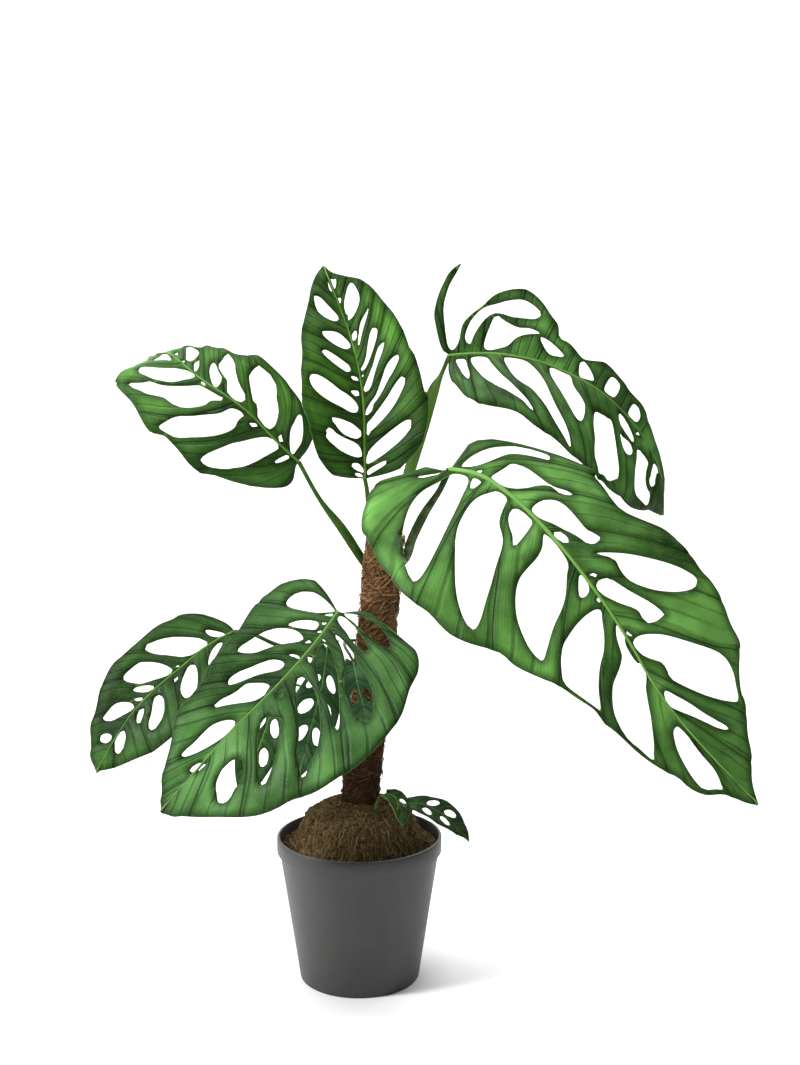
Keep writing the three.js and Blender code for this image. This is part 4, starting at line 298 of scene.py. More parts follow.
# Upper centre, upright, folded like a shallow V
LEAVES["leaf_b"] = dict(
    midrib=[(7, -8, 519), (7, -14, 551), (6, -14, 593), (1, -8, 629), (-8, 0, 662), (-18, 8, 689),
            (-35, 26, 732)],
    face=[(0, -1, 0.05), (0.05, -1, 0.1), (0.1, -1, 0.4)],
    rib=1.9,
    right=half(
        bow=0.06, lift=[24, 26, 20], curl=[10, 10, 20],
        veins=[(0, 14, 37), (7, 41, 61), (37, 76, 67), (60, 106, 62), (81, 132, 54), (99, 160, 45),
               (117, 177, 39), (149, 190, 31), (180, 205, 19), (226, 226, 0)],
        margin=[0,1, 1.95,1, 2.1,0.98, 2.3,0.96, 2.9,0.97, 3.2,0.985, 3.5,0.96, 3.8,0.98, 4.1,1, 4.5,1.01,
                5.2,0.99, 6,1, 6.5,1.015, 7,1.03, 7.4,1.02, 7.8,0.99, 8.1,0.93, 8.4,0.84, 8.6,0.75,
                8.75,0.65],
        windows=[
            [0.62,0.07, 0.75,0.12, 0.88,0.22, 0.98,0.33, 1.07,0.38, 1.14,0.35, 1.16,0.28, 1.13,0.15,
             1.05,0.06, 0.9,0.04],
            [1.73,0.745, 1.6,0.68, 1.5,0.55, 1.42,0.38, 1.35,0.2, 1.3,0.08, 1.32,0.03, 1.5,0.03, 1.65,0.06,
             1.78,0.15, 1.88,0.28, 1.95,0.42, 1.97,0.58, 1.9,0.7],
            [2.98,0.74, 2.85,0.68, 2.72,0.56, 2.6,0.42, 2.5,0.28, 2.38,0.15, 2.33,0.09, 2.18,0.05, 2.2,0.02,
             2.4,0.04, 2.72,0.05, 2.82,0.12, 2.95,0.2, 3.05,0.32, 3.12,0.45, 3.18,0.58, 3.15,0.7],
            [3.75,0.77, 3.66,0.73, 3.6,0.62, 3.58,0.5, 3.5,0.38, 3.4,0.27, 3.35,0.17, 3.25,0.17, 3.15,0.12,
             3.1,0.06, 3.2,0.021, 3.35,0.05, 3.5,0.12, 3.56,0.22, 3.7,0.3, 3.85,0.38, 3.98,0.46, 4.03,0.55,
             3.98,0.65, 3.87,0.73],
            [4.57,0.65, 4.52,0.55, 4.5,0.42, 4.42,0.33, 4.28,0.25, 4.15,0.18, 4.1,0.1, 4.2,0.05, 4.38,0.04,
             4.52,0.1, 4.62,0.18, 4.7,0.3, 4.78,0.42, 4.8,0.52, 4.7,0.6],
            [4.97,0.08, 5.05,0.085, 5.1,0.06, 5.03,0.04],
            [5.22,0.66, 5.12,0.6, 5.12,0.4, 5.14,0.2, 5.22,0.1, 5.4,0.05, 5.48,0.06, 5.45,0.15, 5.48,0.24,
             5.6,0.32, 5.7,0.42, 5.72,0.52, 5.62,0.59, 5.4,0.63],
            [6.22,0.76, 6.3,0.68, 6.42,0.58, 6.52,0.48, 6.56,0.38, 6.5,0.27, 6.42,0.18, 6.3,0.12, 6.28,0.2,
             6.32,0.35, 6.3,0.5, 6.25,0.62],
            [6.55,0.15, 6.58,0.2, 6.66,0.22, 6.75,0.18, 6.8,0.1, 6.78,0.04, 6.68,0.038, 6.6,0.08],
            [7.62,0.86, 7.45,0.83, 7.25,0.79, 7.08,0.74, 6.98,0.65, 6.98,0.52, 7.03,0.4, 7.1,0.28, 7.2,0.17,
             7.28,0.11, 7.38,0.17, 7.55,0.12, 7.65,0.15, 7.75,0.22, 7.82,0.4, 7.85,0.6, 7.82,0.76,
             7.75,0.84],
            [8.02,0.22, 8.07,0.15, 8.12,0.076, 8.1,0.075, 7.98,0.067, 7.95,0.08],
            [8.42,0.54, 8.48,0.45, 8.55,0.3, 8.6,0.164, 8.4,0.109, 8.35,0.15, 8.36,0.35],
        ],
    ),
    left=half(
        bow=0.06, lift=[26, 28, 20], curl=[10, 12, 20],
        veins=[(0, 6, 31), (18, 27, 50), (40, 53, 58), (63, 89, 65), (94, 132, 56), (124, 163, 46),
               (151, 187, 32), (184, 208, 16), (226, 226, 0)],
        margin=[0,1.08, 0.3,1.05, 0.6,0.99, 0.9,0.97, 1.3,0.98, 1.7,0.98, 2.7,1, 2.9,0.985, 3.3,0.99,
                3.6,1.01, 4,0.995, 4.5,1.01, 5,1.01, 5.3,0.99, 5.7,0.975, 6.1,0.98, 6.4,1.01, 6.8,1.04,
                7.2,1.08, 7.6,1.1, 7.9,1.1],
        windows=[
            [0.1,0.07, 0.09,0.15, 0.15,0.22, 0.25,0.28, 0.33,0.25, 0.32,0.17, 0.25,0.09, 0.14,0.06],
            [0.36,0.05, 0.42,0.12, 0.52,0.2, 0.65,0.27, 0.78,0.29, 0.88,0.25, 0.9,0.17, 0.85,0.11, 0.7,0.07,
             0.5,0.032],
            [1.2,0.1, 1.25,0.22, 1.35,0.34, 1.5,0.48, 1.65,0.58, 1.8,0.67, 1.92,0.7, 2.02,0.67, 2.12,0.68,
             2.22,0.65, 2.23,0.58, 2.12,0.52, 2.02,0.42, 1.95,0.32, 1.88,0.22, 1.78,0.13, 1.6,0.08,
             1.4,0.06, 1.27,0.06],
            [2.02,0.12, 2.03,0.22, 2.1,0.32, 2.18,0.4, 2.3,0.45, 2.45,0.5, 2.55,0.55, 2.63,0.53, 2.67,0.42,
             2.65,0.3, 2.6,0.2, 2.5,0.13, 2.38,0.07, 2.2,0.06, 2.07,0.08],
            [3.52,0.87, 3.4,0.86, 3.28,0.8, 3.18,0.68, 3.13,0.52, 3.1,0.35, 3.03,0.22, 3.06,0.13, 3.18,0.09,
             3.32,0.1, 3.44,0.16, 3.52,0.27, 3.55,0.4, 3.62,0.52, 3.67,0.65, 3.67,0.77, 3.6,0.85],
            [3.57,0.1, 3.6,0.16, 3.66,0.2, 3.72,0.13, 3.75,0.08, 3.67,0.05],
            [4.06,0.1, 4.09,0.15, 4.14,0.17, 4.19,0.12, 4.19,0.06, 4.13,0.04],
            [4.22,0.25, 4.24,0.35, 4.3,0.46, 4.37,0.58, 4.46,0.65, 4.53,0.66, 4.62,0.6, 4.62,0.5, 4.58,0.38,
             4.53,0.25, 4.48,0.16, 4.38,0.16, 4.28,0.19],
            [5.22,0.65, 5.3,0.63, 5.42,0.53, 5.53,0.42, 5.6,0.3, 5.58,0.18, 5.5,0.1, 5.35,0.06, 5.2,0.1,
             5.08,0.2, 5.03,0.35, 5.05,0.48, 5.12,0.6],
            [6.42,0.89, 6.5,0.86, 6.57,0.77, 6.58,0.65, 6.53,0.52, 6.48,0.38, 6.42,0.26, 6.35,0.19,
             6.25,0.2, 6.12,0.28, 6.03,0.4, 5.98,0.55, 6,0.7, 6.08,0.78, 6.2,0.83, 6.33,0.87],
            [7.3,0.28, 7.4,0.23, 7.48,0.19, 7.5,0.163, 7.3,0.116, 7.24,0.107, 7.22,0.2],
        ],
    ),
    petiole=[(9, -1, 506), (11, 12, 480), (14, 22, 456), (23, 29, 430)],
    sizes=[(2.1, 2.1), (2.3, 2.3), (3, 2.8), (3.6, 3.2), (3.6, 3.4)],
)

# Upper right, arching over, near half hanging and far half rolled up
LEAVES["leaf_c"] = dict(
    midrib=[(91, 0, 641), (121, -3, 643), (151, -6, 641), (180, -9, 635), (209, -12, 623), (239, -13, 606),
            (267, -10, 581), (289, -4, 552), (305, 4, 519), (310, 14, 478)],
    face=[(0.15, -0.35, 0.95), (0.2, -0.4, 0.9), (0.4, -0.45, 0.8), (0.85, -0.4, 0.4), (0.95, -0.3, 0.1)],
    rib=2.1,
    right=half(
        bow=0.1, lift=[-8, -14, -20], curl=[20, 26, 30],
        veins=[(0, 2, 40), (20, 32, 73), (45, 122, 80), (97, 191, 82), (137, 211, 74), (183, 257, 63),
               (237, 290, 23), (311, 311, 0)],
        margin=[0,1.05, 0.4,1.14, 0.6,1.12, 0.7,1.07, 0.85,1.03, 1,1.01, 1.35,0.97, 1.5,0.965, 1.7,0.99,
                1.85,1.02, 2.1,1.01, 2.45,1.04, 2.6,1.03, 3,1, 3.4,1.01, 3.6,1.02, 3.8,1.06, 4,1.05,
                4.2,1.04, 4.35,1.05, 4.6,1.03, 4.9,1, 5.05,1.02, 5.25,1.08, 5.45,1.13, 5.7,1.13, 6,1.09,
                6.4,1.08],
        windows=[
            [0.35,0.12, 0.45,0.22, 0.6,0.36, 0.72,0.48, 0.82,0.55, 0.88,0.56, 0.94,0.48, 0.96,0.38,
             0.92,0.28, 0.88,0.16, 0.78,0.1, 0.5,0.1],
            [1.06,0.09, 1.1,0.2, 1.18,0.34, 1.3,0.48, 1.42,0.58, 1.6,0.66, 1.75,0.73, 1.9,0.8, 1.98,0.81,
             2,0.75, 1.92,0.68, 1.82,0.6, 1.76,0.48, 1.7,0.36, 1.68,0.2, 1.67,0.08, 1.4,0.06, 1.15,0.07],
            [2.02,0.38, 2.08,0.45, 2.2,0.49, 2.3,0.54, 2.36,0.65, 2.36,0.78, 2.4,0.88, 2.5,0.97, 2.55,0.92,
             2.58,0.78, 2.58,0.6, 2.62,0.45, 2.67,0.3, 2.65,0.15, 2.55,0.05, 2.3,0.04, 2.14,0.06, 2.06,0.2,
             2.02,0.3],
            [3,0.45, 3.04,0.55, 3.15,0.585, 3.3,0.56, 3.5,0.49, 3.63,0.42, 3.72,0.35, 3.68,0.25, 3.6,0.18,
             3.6,0.1, 3.62,0.03, 3.4,0.03, 3.1,0.03, 3,0.08, 2.98,0.25],
            [3.65,0.86, 3.8,0.93, 3.95,0.985, 4.2,0.97, 4.35,0.98, 4.5,0.94, 4.62,0.89, 4.69,0.86,
             4.72,0.75, 4.68,0.6, 4.65,0.45, 4.63,0.3, 4.5,0.3, 4.25,0.33, 4.1,0.36, 4,0.45, 3.88,0.58,
             3.78,0.7, 3.67,0.8],
            [4.9,0.34, 4.88,0.38, 4.95,0.45, 5.05,0.5, 5.15,0.5, 5.25,0.46, 5.3,0.4, 5.28,0.36, 5.2,0.34,
             5,0.34],
            [4.95,0.1, 5,0.2, 5.1,0.25, 5.3,0.285, 5.38,0.25, 5.36,0.17, 5.25,0.11, 5.1,0.07, 5,0.06],
            [5.3,0.75, 5.32,0.85, 5.42,0.94, 5.6,1.01, 5.78,1.05, 5.88,1, 5.9,0.92, 5.86,0.86, 5.76,0.84,
             5.69,0.79, 5.64,0.7, 5.7,0.56, 5.78,0.44, 5.84,0.34, 5.7,0.31, 5.5,0.32, 5.42,0.45, 5.34,0.6],
            [5.79,0.68, 5.85,0.73, 5.95,0.72, 6.06,0.66, 6.13,0.58, 6.14,0.48, 6.2,0.35, 6.28,0.18,
             6.32,0.09, 6.2,0.075, 6.13,0.15, 6.06,0.32, 5.99,0.46, 5.9,0.57, 5.82,0.63],
            [5.5,0.1, 5.58,0.07, 5.65,0.035, 5.55,0.04],
        ],
    ),
    left=half(
        bow=0, lift=[72, 66, 40, 25], curl=[-25, -30, -10, 0],
        veins=[(0, -16, 90), (10, 14, 90), (32, 40, 72), (60, 66, 68), (88, 94, 46), (118, 118, 30),
               (150, 148, 27), (183, 178, 22), (217, 214, 19), (311, 311, 0)],
        margin=[-0.37,0.05, -0.43,0.15, -0.34,0.36, -0.22,0.48, 0.23,0.69, 0.72,0.88, 0.95,0.94, 1.17,1.01,
                1,0.87, 0.71,0.74, 0.35,0.56, 0.2,0.39, 0.1,0.22, 0.08,0.1, 0.51,0.06, 0.95,0.13, 1.17,0.32,
                1.5,0.47, 1.83,0.63, 2.16,0.82, 2.65,0.93, 3.11,0.97, 3.5,0.97, 3.78,0.92, 4.08,0.87,
                4.31,0.7, 4.65,0.79, 4.97,0.78, 5.33,0.69, 5.68,0.84, 6,1, 6.6,0.98, 7,1, 7.5,1, 8,0.98,
                8.6,0.8],
        windows=[
            [1.85,0.59, 1.48,0.37, 1.3,0.18, 1.51,0.12, 1.64,0.23, 1.93,0.45, 2.28,0.57, 2.88,0.54,
             3.4,0.64, 3.55,0.8, 3.2,0.82, 2.7,0.77, 2.2,0.68],
            [2.29,0.53, 2.14,0.34, 2.05,0.12, 2.22,0.05, 2.62,0.09, 2.86,0.14, 3.04,0.25, 3.23,0.33,
             3.59,0.45, 3.71,0.51, 3.41,0.48, 3.02,0.41, 2.57,0.47],
            [3.82,0.41, 3.85,0.47, 4.29,0.47, 4.71,0.4, 4.44,0.27, 4.19,0.25],
            [5.29,0.47, 5.37,0.6, 5.53,0.54, 5.73,0.4, 5.88,0.22, 5.68,0.13, 5.44,0.1],
            [6.3,0.2, 6.3,0.7, 6.5,0.8, 6.7,0.7, 6.7,0.25, 6.5,0.15],
            [7.4,0.2, 7.4,0.65, 7.6,0.75, 7.8,0.6, 7.8,0.25, 7.6,0.15],
        ],
    ),
    petiole=[(83, 3, 622), (75, 6, 604), (64, 11, 566), (52, 18, 525), (40, 26, 484), (29, 28, 452)],
    sizes=[(2.3, 2.3), (2.4, 2.4), (6, 2.6), (6.6, 2.8), (6, 3), (4.8, 3.4), (4.2, 3.6)],
    wings=[1, -0.3, 0],
)

# Large leaf to the right, nearest the front
LEAVES["leaf_d"] = dict(
    midrib=[(90, -50, 532), (118, -74, 528), (150, -97, 507), (185, -118, 472), (216, -136, 433),
            (245, -148, 391), (279, -160, 334), (321, -167, 284), (368, -172, 236)],
    face=[(-0.05, -0.8, 0.6), (0.1, -0.9, 0.45), (0.3, -0.9, 0.3)],
    rib=3,
    right=half(
        bow=0.12, lift=[10, 14, 10], curl=[14, 12, 10],
        veins=[(0, -28, 1), (0, -66, 40), (2, -22, 104), (45, 103, 143), (76, 190, 116), (168, 251, 84),
               (212, 298, 63), (286, 360, 45), (354, 420, 14), (442, 442, 0)],
        margin=[0,1, 1,1.05, 1.5,1.1, 1.7,1.1, 1.85,1.05, 2,1.06, 2.3,1.12, 2.45,1.08, 2.75,1.04, 3,1,
                3.2,0.985, 3.5,1.03, 3.75,1.03, 4.1,0.99, 4.3,1.01, 4.9,1.01, 5.5,0.995, 5.8,0.985, 6,1.01,
                6.3,0.985, 6.8,1.005, 7.15,0.99, 7.3,1.04, 7.5,1.05, 7.7,1, 7.9,0.97, 8.5,0.98, 8.75,1],
        windows=[
            [0.92,0.1, 0.98,0.3, 1.05,0.38, 1.18,0.36, 1.3,0.27, 1.4,0.17, 1.5,0.09, 1.2,0.08],
            [2.4,0.04, 2.18,0.06, 2.02,0.2, 1.98,0.34, 2.1,0.52, 2.22,0.7, 2.3,0.86, 2.36,0.91, 2.62,0.9,
             2.84,0.92, 2.92,0.8, 2.93,0.6, 2.88,0.4, 2.8,0.22, 2.66,0.07],
            [2.74,0.045, 2.78,0.1, 2.86,0.13, 2.92,0.09, 2.94,0.045],
            [3.93,0.04, 3.62,0.045, 3.3,0.1, 3.13,0.15, 3.05,0.22, 3.05,0.36, 3.12,0.48, 3.27,0.62,
             3.42,0.78, 3.55,0.88, 3.68,0.945, 3.77,0.95, 3.83,0.88, 3.88,0.72, 3.94,0.54, 4,0.4, 3.99,0.32,
             3.9,0.26, 3.88,0.2, 3.92,0.1],
            [4.04,0.14, 4.06,0.2, 4.14,0.26, 4.17,0.33, 4.23,0.28, 4.3,0.18, 4.35,0.08, 4.34,0.04,
             4.18,0.045, 4.08,0.08],
            [4.52,0.04, 4.53,0.14, 4.5,0.25, 4.42,0.37, 4.32,0.5, 4.29,0.62, 4.32,0.74, 4.4,0.82, 4.52,0.88,
             4.68,0.905, 4.74,0.82, 4.82,0.64, 4.92,0.45, 4.95,0.3, 4.9,0.15, 4.87,0.06, 4.7,0.03],
            [5.02,0.7, 5.01,0.82, 5.06,0.92, 5.16,0.965, 5.5,0.965, 5.85,0.955, 5.95,0.93, 5.94,0.8,
             5.98,0.62, 6.05,0.45, 6.05,0.3, 6,0.18, 5.93,0.1, 5.78,0.15, 5.6,0.24, 5.4,0.35, 5.22,0.48,
             5.1,0.6],
            [5.1,0.04, 5.16,0.14, 5.22,0.2, 5.33,0.17, 5.41,0.12, 5.44,0.07, 5.38,0.03, 5.2,0.02],
            [5.75,0.06, 5.79,0.08, 5.84,0.05, 5.86,0.02, 5.79,0.02],
            [6.28,0.03, 6.3,0.1, 6.38,0.18, 6.46,0.23, 6.44,0.35, 6.36,0.5, 6.28,0.64, 6.24,0.8, 6.28,0.88,
             6.42,0.94, 6.6,0.94, 6.78,0.96, 6.84,0.88, 6.93,0.74, 7,0.55, 7.02,0.4, 7,0.2, 6.96,0.04,
             6.82,0.027, 6.75,0.07, 6.62,0.09, 6.5,0.08, 6.44,0.023, 6.35,0.023],
            [7.62,0.2, 7.5,0.32, 7.42,0.45, 7.38,0.65, 7.42,0.84, 7.5,0.97, 7.56,0.98, 7.72,0.93, 7.88,0.89,
             7.98,0.78, 8.06,0.62, 8.08,0.5, 8,0.38, 7.88,0.28, 7.84,0.2, 7.74,0.17],
        ],
    ),
    left=half(
        bow=0.1, lift=[14, 12, 8], curl=[16, 12, 10],
        veins=[(-2, 6, 28), (17, 123, 76), (69, 164, 79), (123, 218, 95), (182, 262, 97), (223, 323, 88),
               (279, 375, 52), (319, 413, 24), (442, 442, 0)],
        margin=[0,1.1, 0.2,1.13, 0.4,1.14, 0.55,1.14, 0.7,1.12, 0.85,1.02, 1,0.93, 1.12,0.885, 1.3,0.87,
                1.6,0.86, 1.95,0.85, 2.15,0.86, 2.2,0.95, 2.22,1.07, 2.4,1.08, 2.6,1.04, 2.8,1.01, 3,0.99,
                3.4,0.98, 3.6,1, 4.3,0.99, 4.8,1.01, 5.1,0.99, 5.5,0.98, 5.7,0.98, 5.85,1, 6.6,1, 7,0.98,
                7.4,0.95, 7.7,0.9, 7.85,0.85],
        windows=[
            [0.38,0.95, 0.35,0.8, 0.35,0.6, 0.36,0.4, 0.38,0.25, 0.48,0.12, 0.7,0.075, 0.95,0.08, 1,0.16,
             0.92,0.29, 0.79,0.42, 0.7,0.52, 0.71,0.6, 0.85,0.69, 0.8,0.75, 0.69,0.83, 0.58,0.92],
            [1.2,0.33, 1.31,0.38, 1.68,0.41, 1.85,0.44, 1.92,0.51, 1.98,0.535, 2.05,0.5, 2.04,0.435,
             1.84,0.42, 1.86,0.31, 1.93,0.2, 1.89,0.045, 1.58,0.04, 1.5,0.09, 1.39,0.19, 1.26,0.28],
            [1.28,0.07, 1.33,0.07, 1.36,0.03, 1.3,0.02, 1.26,0.04],
            [2.28,0.32, 2.42,0.34, 2.6,0.33, 2.85,0.31, 3,0.31, 3.12,0.355, 3.22,0.33, 3.3,0.27, 3.3,0.22,
             3.15,0.19, 3,0.14, 2.88,0.1, 2.78,0.05, 2.7,0.03, 2.55,0.035, 2.42,0.1, 2.3,0.2, 2.27,0.26],
            [3.06,0.07, 3.08,0.1, 3.2,0.105, 3.29,0.08, 3.28,0.04, 3.17,0.02, 3.08,0.035],
            [3.7,0.88, 3.6,0.84, 3.52,0.74, 3.48,0.55, 3.47,0.4, 3.5,0.23, 3.56,0.3, 3.65,0.335, 3.8,0.32,
             3.95,0.32, 4.1,0.35, 4.18,0.42, 4.21,0.5, 4.17,0.62, 4.08,0.73, 3.95,0.82, 3.82,0.86],
            [3.9,0.08, 3.93,0.11, 3.98,0.09, 3.98,0.05, 3.92,0.05],
            [4.02,0.18, 4.1,0.21, 4.25,0.25, 4.4,0.31, 4.52,0.38, 4.62,0.42, 4.7,0.45, 4.8,0.41, 4.92,0.35,
             5,0.28, 4.93,0.255, 4.8,0.25, 4.73,0.22, 4.65,0.13, 4.5,0.06, 4.35,0.03, 4.22,0.035, 4.1,0.07,
             4.03,0.13],
            [5.08,0.72, 5.14,0.83, 5.28,0.9, 5.45,0.935, 5.6,0.94, 5.83,0.94, 5.9,0.88, 5.95,0.75, 5.97,0.6,
             5.95,0.4, 5.9,0.31, 5.75,0.3, 5.66,0.27, 5.68,0.17, 5.68,0.08, 5.6,0.04, 5.5,0.04, 5.38,0.1,
             5.26,0.2, 5.15,0.35, 5.1,0.5],
            [5.3,0.03, 5.31,0.07, 5.35,0.075, 5.38,0.045, 5.35,0.02],
            [6.47,0.8, 6.5,0.81, 6.58,0.77, 6.66,0.68, 6.7,0.58, 6.76,0.45, 6.84,0.32, 6.92,0.18, 6.97,0.06,
             6.95,0.051, 6.88,0.048, 6.78,0.08, 6.62,0.12, 6.42,0.18, 6.4,0.3, 6.4,0.42, 6.46,0.58,
             6.47,0.7],
        ],
    ),
    petiole=[(80, -46, 510), (66, -36, 488), (54, -14, 460), (48, 12, 436), (36, 26, 422), (22, 30, 414)],
    sizes=[(3.2, 3.2), (3.2, 3.2), (4.8, 3), (5, 3.2), (4.4, 3.4), (4, 3.6), (4, 3.6)],
    wings=[1, 0.3, 0],
)

# Lower left, in front of the pole
LEAVES["leaf_e"] = dict(
    midrib=[(-18, -62, 394), (-38, -84, 369), (-64, -106, 342), (-90, -120, 317), (-115, -130, 294),
            (-143, -137, 263), (-182, -140, 219)],
    face=[(-0.2, -0.75, 0.65), (-0.25, -0.85, 0.5), (-0.3, -0.9, 0.3)],
    rib=2.2,
    right=half(
        bow=0.1, lift=[12, 12, 8], curl=[14, 12, 12],
        veins=[(0, -20, 38), (7, 30, 76), (26, 72, 69), (55, 118, 67), (87, 149, 55), (117, 184, 52),
               (169, 226, 26), (216, 246, 10), (258, 258, 0)],
        margin=[0,1.05, 0.15,1.2, 0.35,1.25, 0.55,1.17, 0.7,1.12, 0.85,1.04, 1,0.99, 1.2,0.97, 1.4,0.98,
                1.65,1.01, 1.9,1.02, 2.5,1, 3.1,0.98, 3.5,1, 4,1, 4.3,0.98, 4.8,0.99, 5.2,0.97, 5.5,0.96,
                5.9,0.98, 6.4,1, 7,1, 7.5,0.97, 7.8,0.9],
        windows=[
            [0.18,0.1, 0.17,0.3, 0.2,0.55, 0.24,0.7, 0.35,0.79, 0.47,0.815, 0.6,0.78, 0.78,0.72, 0.95,0.65,
             1.04,0.55, 1.05,0.45, 1.03,0.32, 0.95,0.22, 0.78,0.15, 0.55,0.09, 0.35,0.075],
            [0.72,0.07, 0.85,0.1, 1,0.15, 1.02,0.1, 0.98,0.04, 0.8,0.04],
            [1.82,0.5, 1.74,0.46, 1.62,0.4, 1.52,0.31, 1.49,0.22, 1.53,0.15, 1.65,0.125, 1.8,0.12, 1.9,0.14,
             1.91,0.25, 1.9,0.36, 1.86,0.44],
            [1.45,0.08, 1.5,0.1, 1.58,0.1, 1.64,0.07, 1.6,0.04, 1.52,0.04],
            [1.88,0.07, 1.93,0.1, 2.02,0.09, 2.06,0.06, 2.03,0.03, 1.95,0.045],
            [1.97,0.45, 1.97,0.58, 2.05,0.67, 2.2,0.72, 2.4,0.76, 2.55,0.79, 2.7,0.81, 2.85,0.79, 2.92,0.72,
             2.93,0.62, 2.85,0.55, 2.75,0.5, 2.66,0.45, 2.6,0.36, 2.52,0.25, 2.44,0.18, 2.35,0.19, 2.2,0.25,
             2.05,0.34],
            [2.4,0.1, 2.45,0.14, 2.52,0.12, 2.54,0.07, 2.47,0.055],
            [3.85,0.69, 3.95,0.7, 4.05,0.67, 4.16,0.64, 4.1,0.58, 3.98,0.5, 3.88,0.43, 3.78,0.34, 3.7,0.24,
             3.63,0.17, 3.5,0.15, 3.35,0.18, 3.25,0.26, 3.23,0.35, 3.33,0.42, 3.48,0.5, 3.6,0.58, 3.7,0.65],
            [2.98,0.18, 3.02,0.2, 3.1,0.12, 3.2,0.05, 3.24,0.03, 3.15,0.04, 3.03,0.1],
            [4.18,0.42, 4.3,0.44, 4.5,0.45, 4.7,0.48, 4.85,0.54, 5,0.57, 5.07,0.56, 5.05,0.45, 5.02,0.3,
             4.98,0.15, 4.9,0.08, 4.75,0.05, 4.55,0.055, 4.35,0.1, 4.22,0.18, 4.17,0.3],
            [5.9,0.74, 5.82,0.7, 5.73,0.6, 5.6,0.52, 5.48,0.44, 5.45,0.35, 5.45,0.22, 5.52,0.1, 5.65,0.037,
             5.8,0.042, 5.9,0.1, 5.98,0.25, 6.02,0.4, 6.02,0.55, 5.98,0.68],
            [6.55,0.35, 6.62,0.3, 6.7,0.22, 6.76,0.1, 6.74,0.096, 6.6,0.084, 6.52,0.08, 6.48,0.2, 6.5,0.3],
        ],
    ),
    left=half(
        bow=0.12, lift=[10, 12, 8], curl=[16, 14, 12],
        veins=[(0, -12, 24), (1, 10, 98), (11, 34, 108), (23, 67, 121), (58, 115, 114), (88, 154, 98),
               (133, 205, 65), (184, 239, 26), (258, 258, 0)],
        margin=[0,1.05, 0.4,1.12, 0.72,1.09, 0.85,1.02, 1,0.96, 1.2,0.94, 1.4,0.96, 1.6,0.99, 1.85,1.01,
                2.5,0.985, 3,0.99, 3.5,1, 5,1, 5.4,1.02, 5.7,1.015, 6,0.99, 6.4,0.975, 6.8,0.99, 7.2,1,
                7.5,1.04],
        windows=[
            [0.27,0.12, 0.24,0.28, 0.36,0.42, 0.6,0.48, 0.95,0.51, 1.25,0.53, 1.5,0.6, 1.8,0.65, 1.95,0.62,
             2,0.5, 1.9,0.36, 1.72,0.27, 1.5,0.2, 1.3,0.13, 1.05,0.08, 0.6,0.07, 0.35,0.08],
            [1.32,0.05, 1.4,0.1, 1.6,0.16, 1.8,0.23, 2,0.29, 2.2,0.34, 2.45,0.4, 2.65,0.44, 2.8,0.42,
             2.86,0.36, 2.82,0.28, 2.7,0.22, 2.45,0.16, 2.2,0.11, 1.9,0.06, 1.6,0.035],
            [2.65,0.05, 2.8,0.08, 2.92,0.07, 2.85,0.04],
            [2.95,0.12, 3.05,0.24, 3.12,0.36, 3.2,0.47, 3.22,0.6, 3.3,0.72, 3.45,0.81, 3.58,0.79, 3.72,0.68,
             3.74,0.55, 3.66,0.44, 3.45,0.37, 3.3,0.28, 3.12,0.16, 3.02,0.1],
            [3.3,0.05, 3.34,0.07, 3.37,0.05, 3.34,0.03],
            [3.42,0.06, 3.4,0.12, 3.46,0.19, 3.58,0.27, 3.72,0.38, 3.85,0.48, 3.95,0.58, 4.02,0.68,
             4.08,0.7, 4.14,0.63, 4.16,0.5, 4.2,0.42, 4.2,0.35, 4.1,0.26, 3.98,0.17, 3.85,0.12, 3.7,0.07,
             3.55,0.045],
            [3.8,0.045, 3.85,0.07, 3.95,0.09, 4.02,0.08, 3.99,0.05, 3.9,0.025],
            [4.36,0.3, 4.38,0.42, 4.42,0.52, 4.46,0.6, 4.6,0.72, 4.7,0.76, 4.8,0.8, 4.9,0.88, 4.95,0.87,
             5.02,0.75, 5.06,0.66, 5,0.55, 4.95,0.42, 4.9,0.28, 4.82,0.17, 4.65,0.11, 4.5,0.12, 4.4,0.2],
            [5.32,0.33, 5.38,0.42, 5.4,0.52, 5.45,0.62, 5.55,0.74, 5.66,0.81, 5.74,0.76, 5.77,0.66,
             5.78,0.55, 5.8,0.42, 5.8,0.34, 5.73,0.22, 5.62,0.2, 5.48,0.26, 5.35,0.3],
            [5.14,0.09, 5.2,0.14, 5.26,0.11, 5.26,0.07, 5.2,0.04, 5.15,0.06],
            [6.06,0.62, 6.1,0.7, 6.2,0.74, 6.27,0.82, 6.38,0.85, 6.48,0.83, 6.56,0.74, 6.64,0.62, 6.62,0.52,
             6.56,0.46, 6.4,0.43, 6.25,0.45, 6.12,0.5],
            [7.1,0.12, 7.2,0.1, 7.3,0.075, 7.2,0.065, 7.15,0.061],
        ],
    ),
    petiole=[(-22, -50, 384), (-24, -34, 362), (-18, -12, 336), (-13, 10, 310), (-4, 26, 288),
             (5, 29, 280)],
    sizes=[(2.4, 2.4), (2.6, 2.6), (3, 2.8), (3.6, 3), (3.8, 3), (3.6, 3.2), (3.6, 3.4)],
)

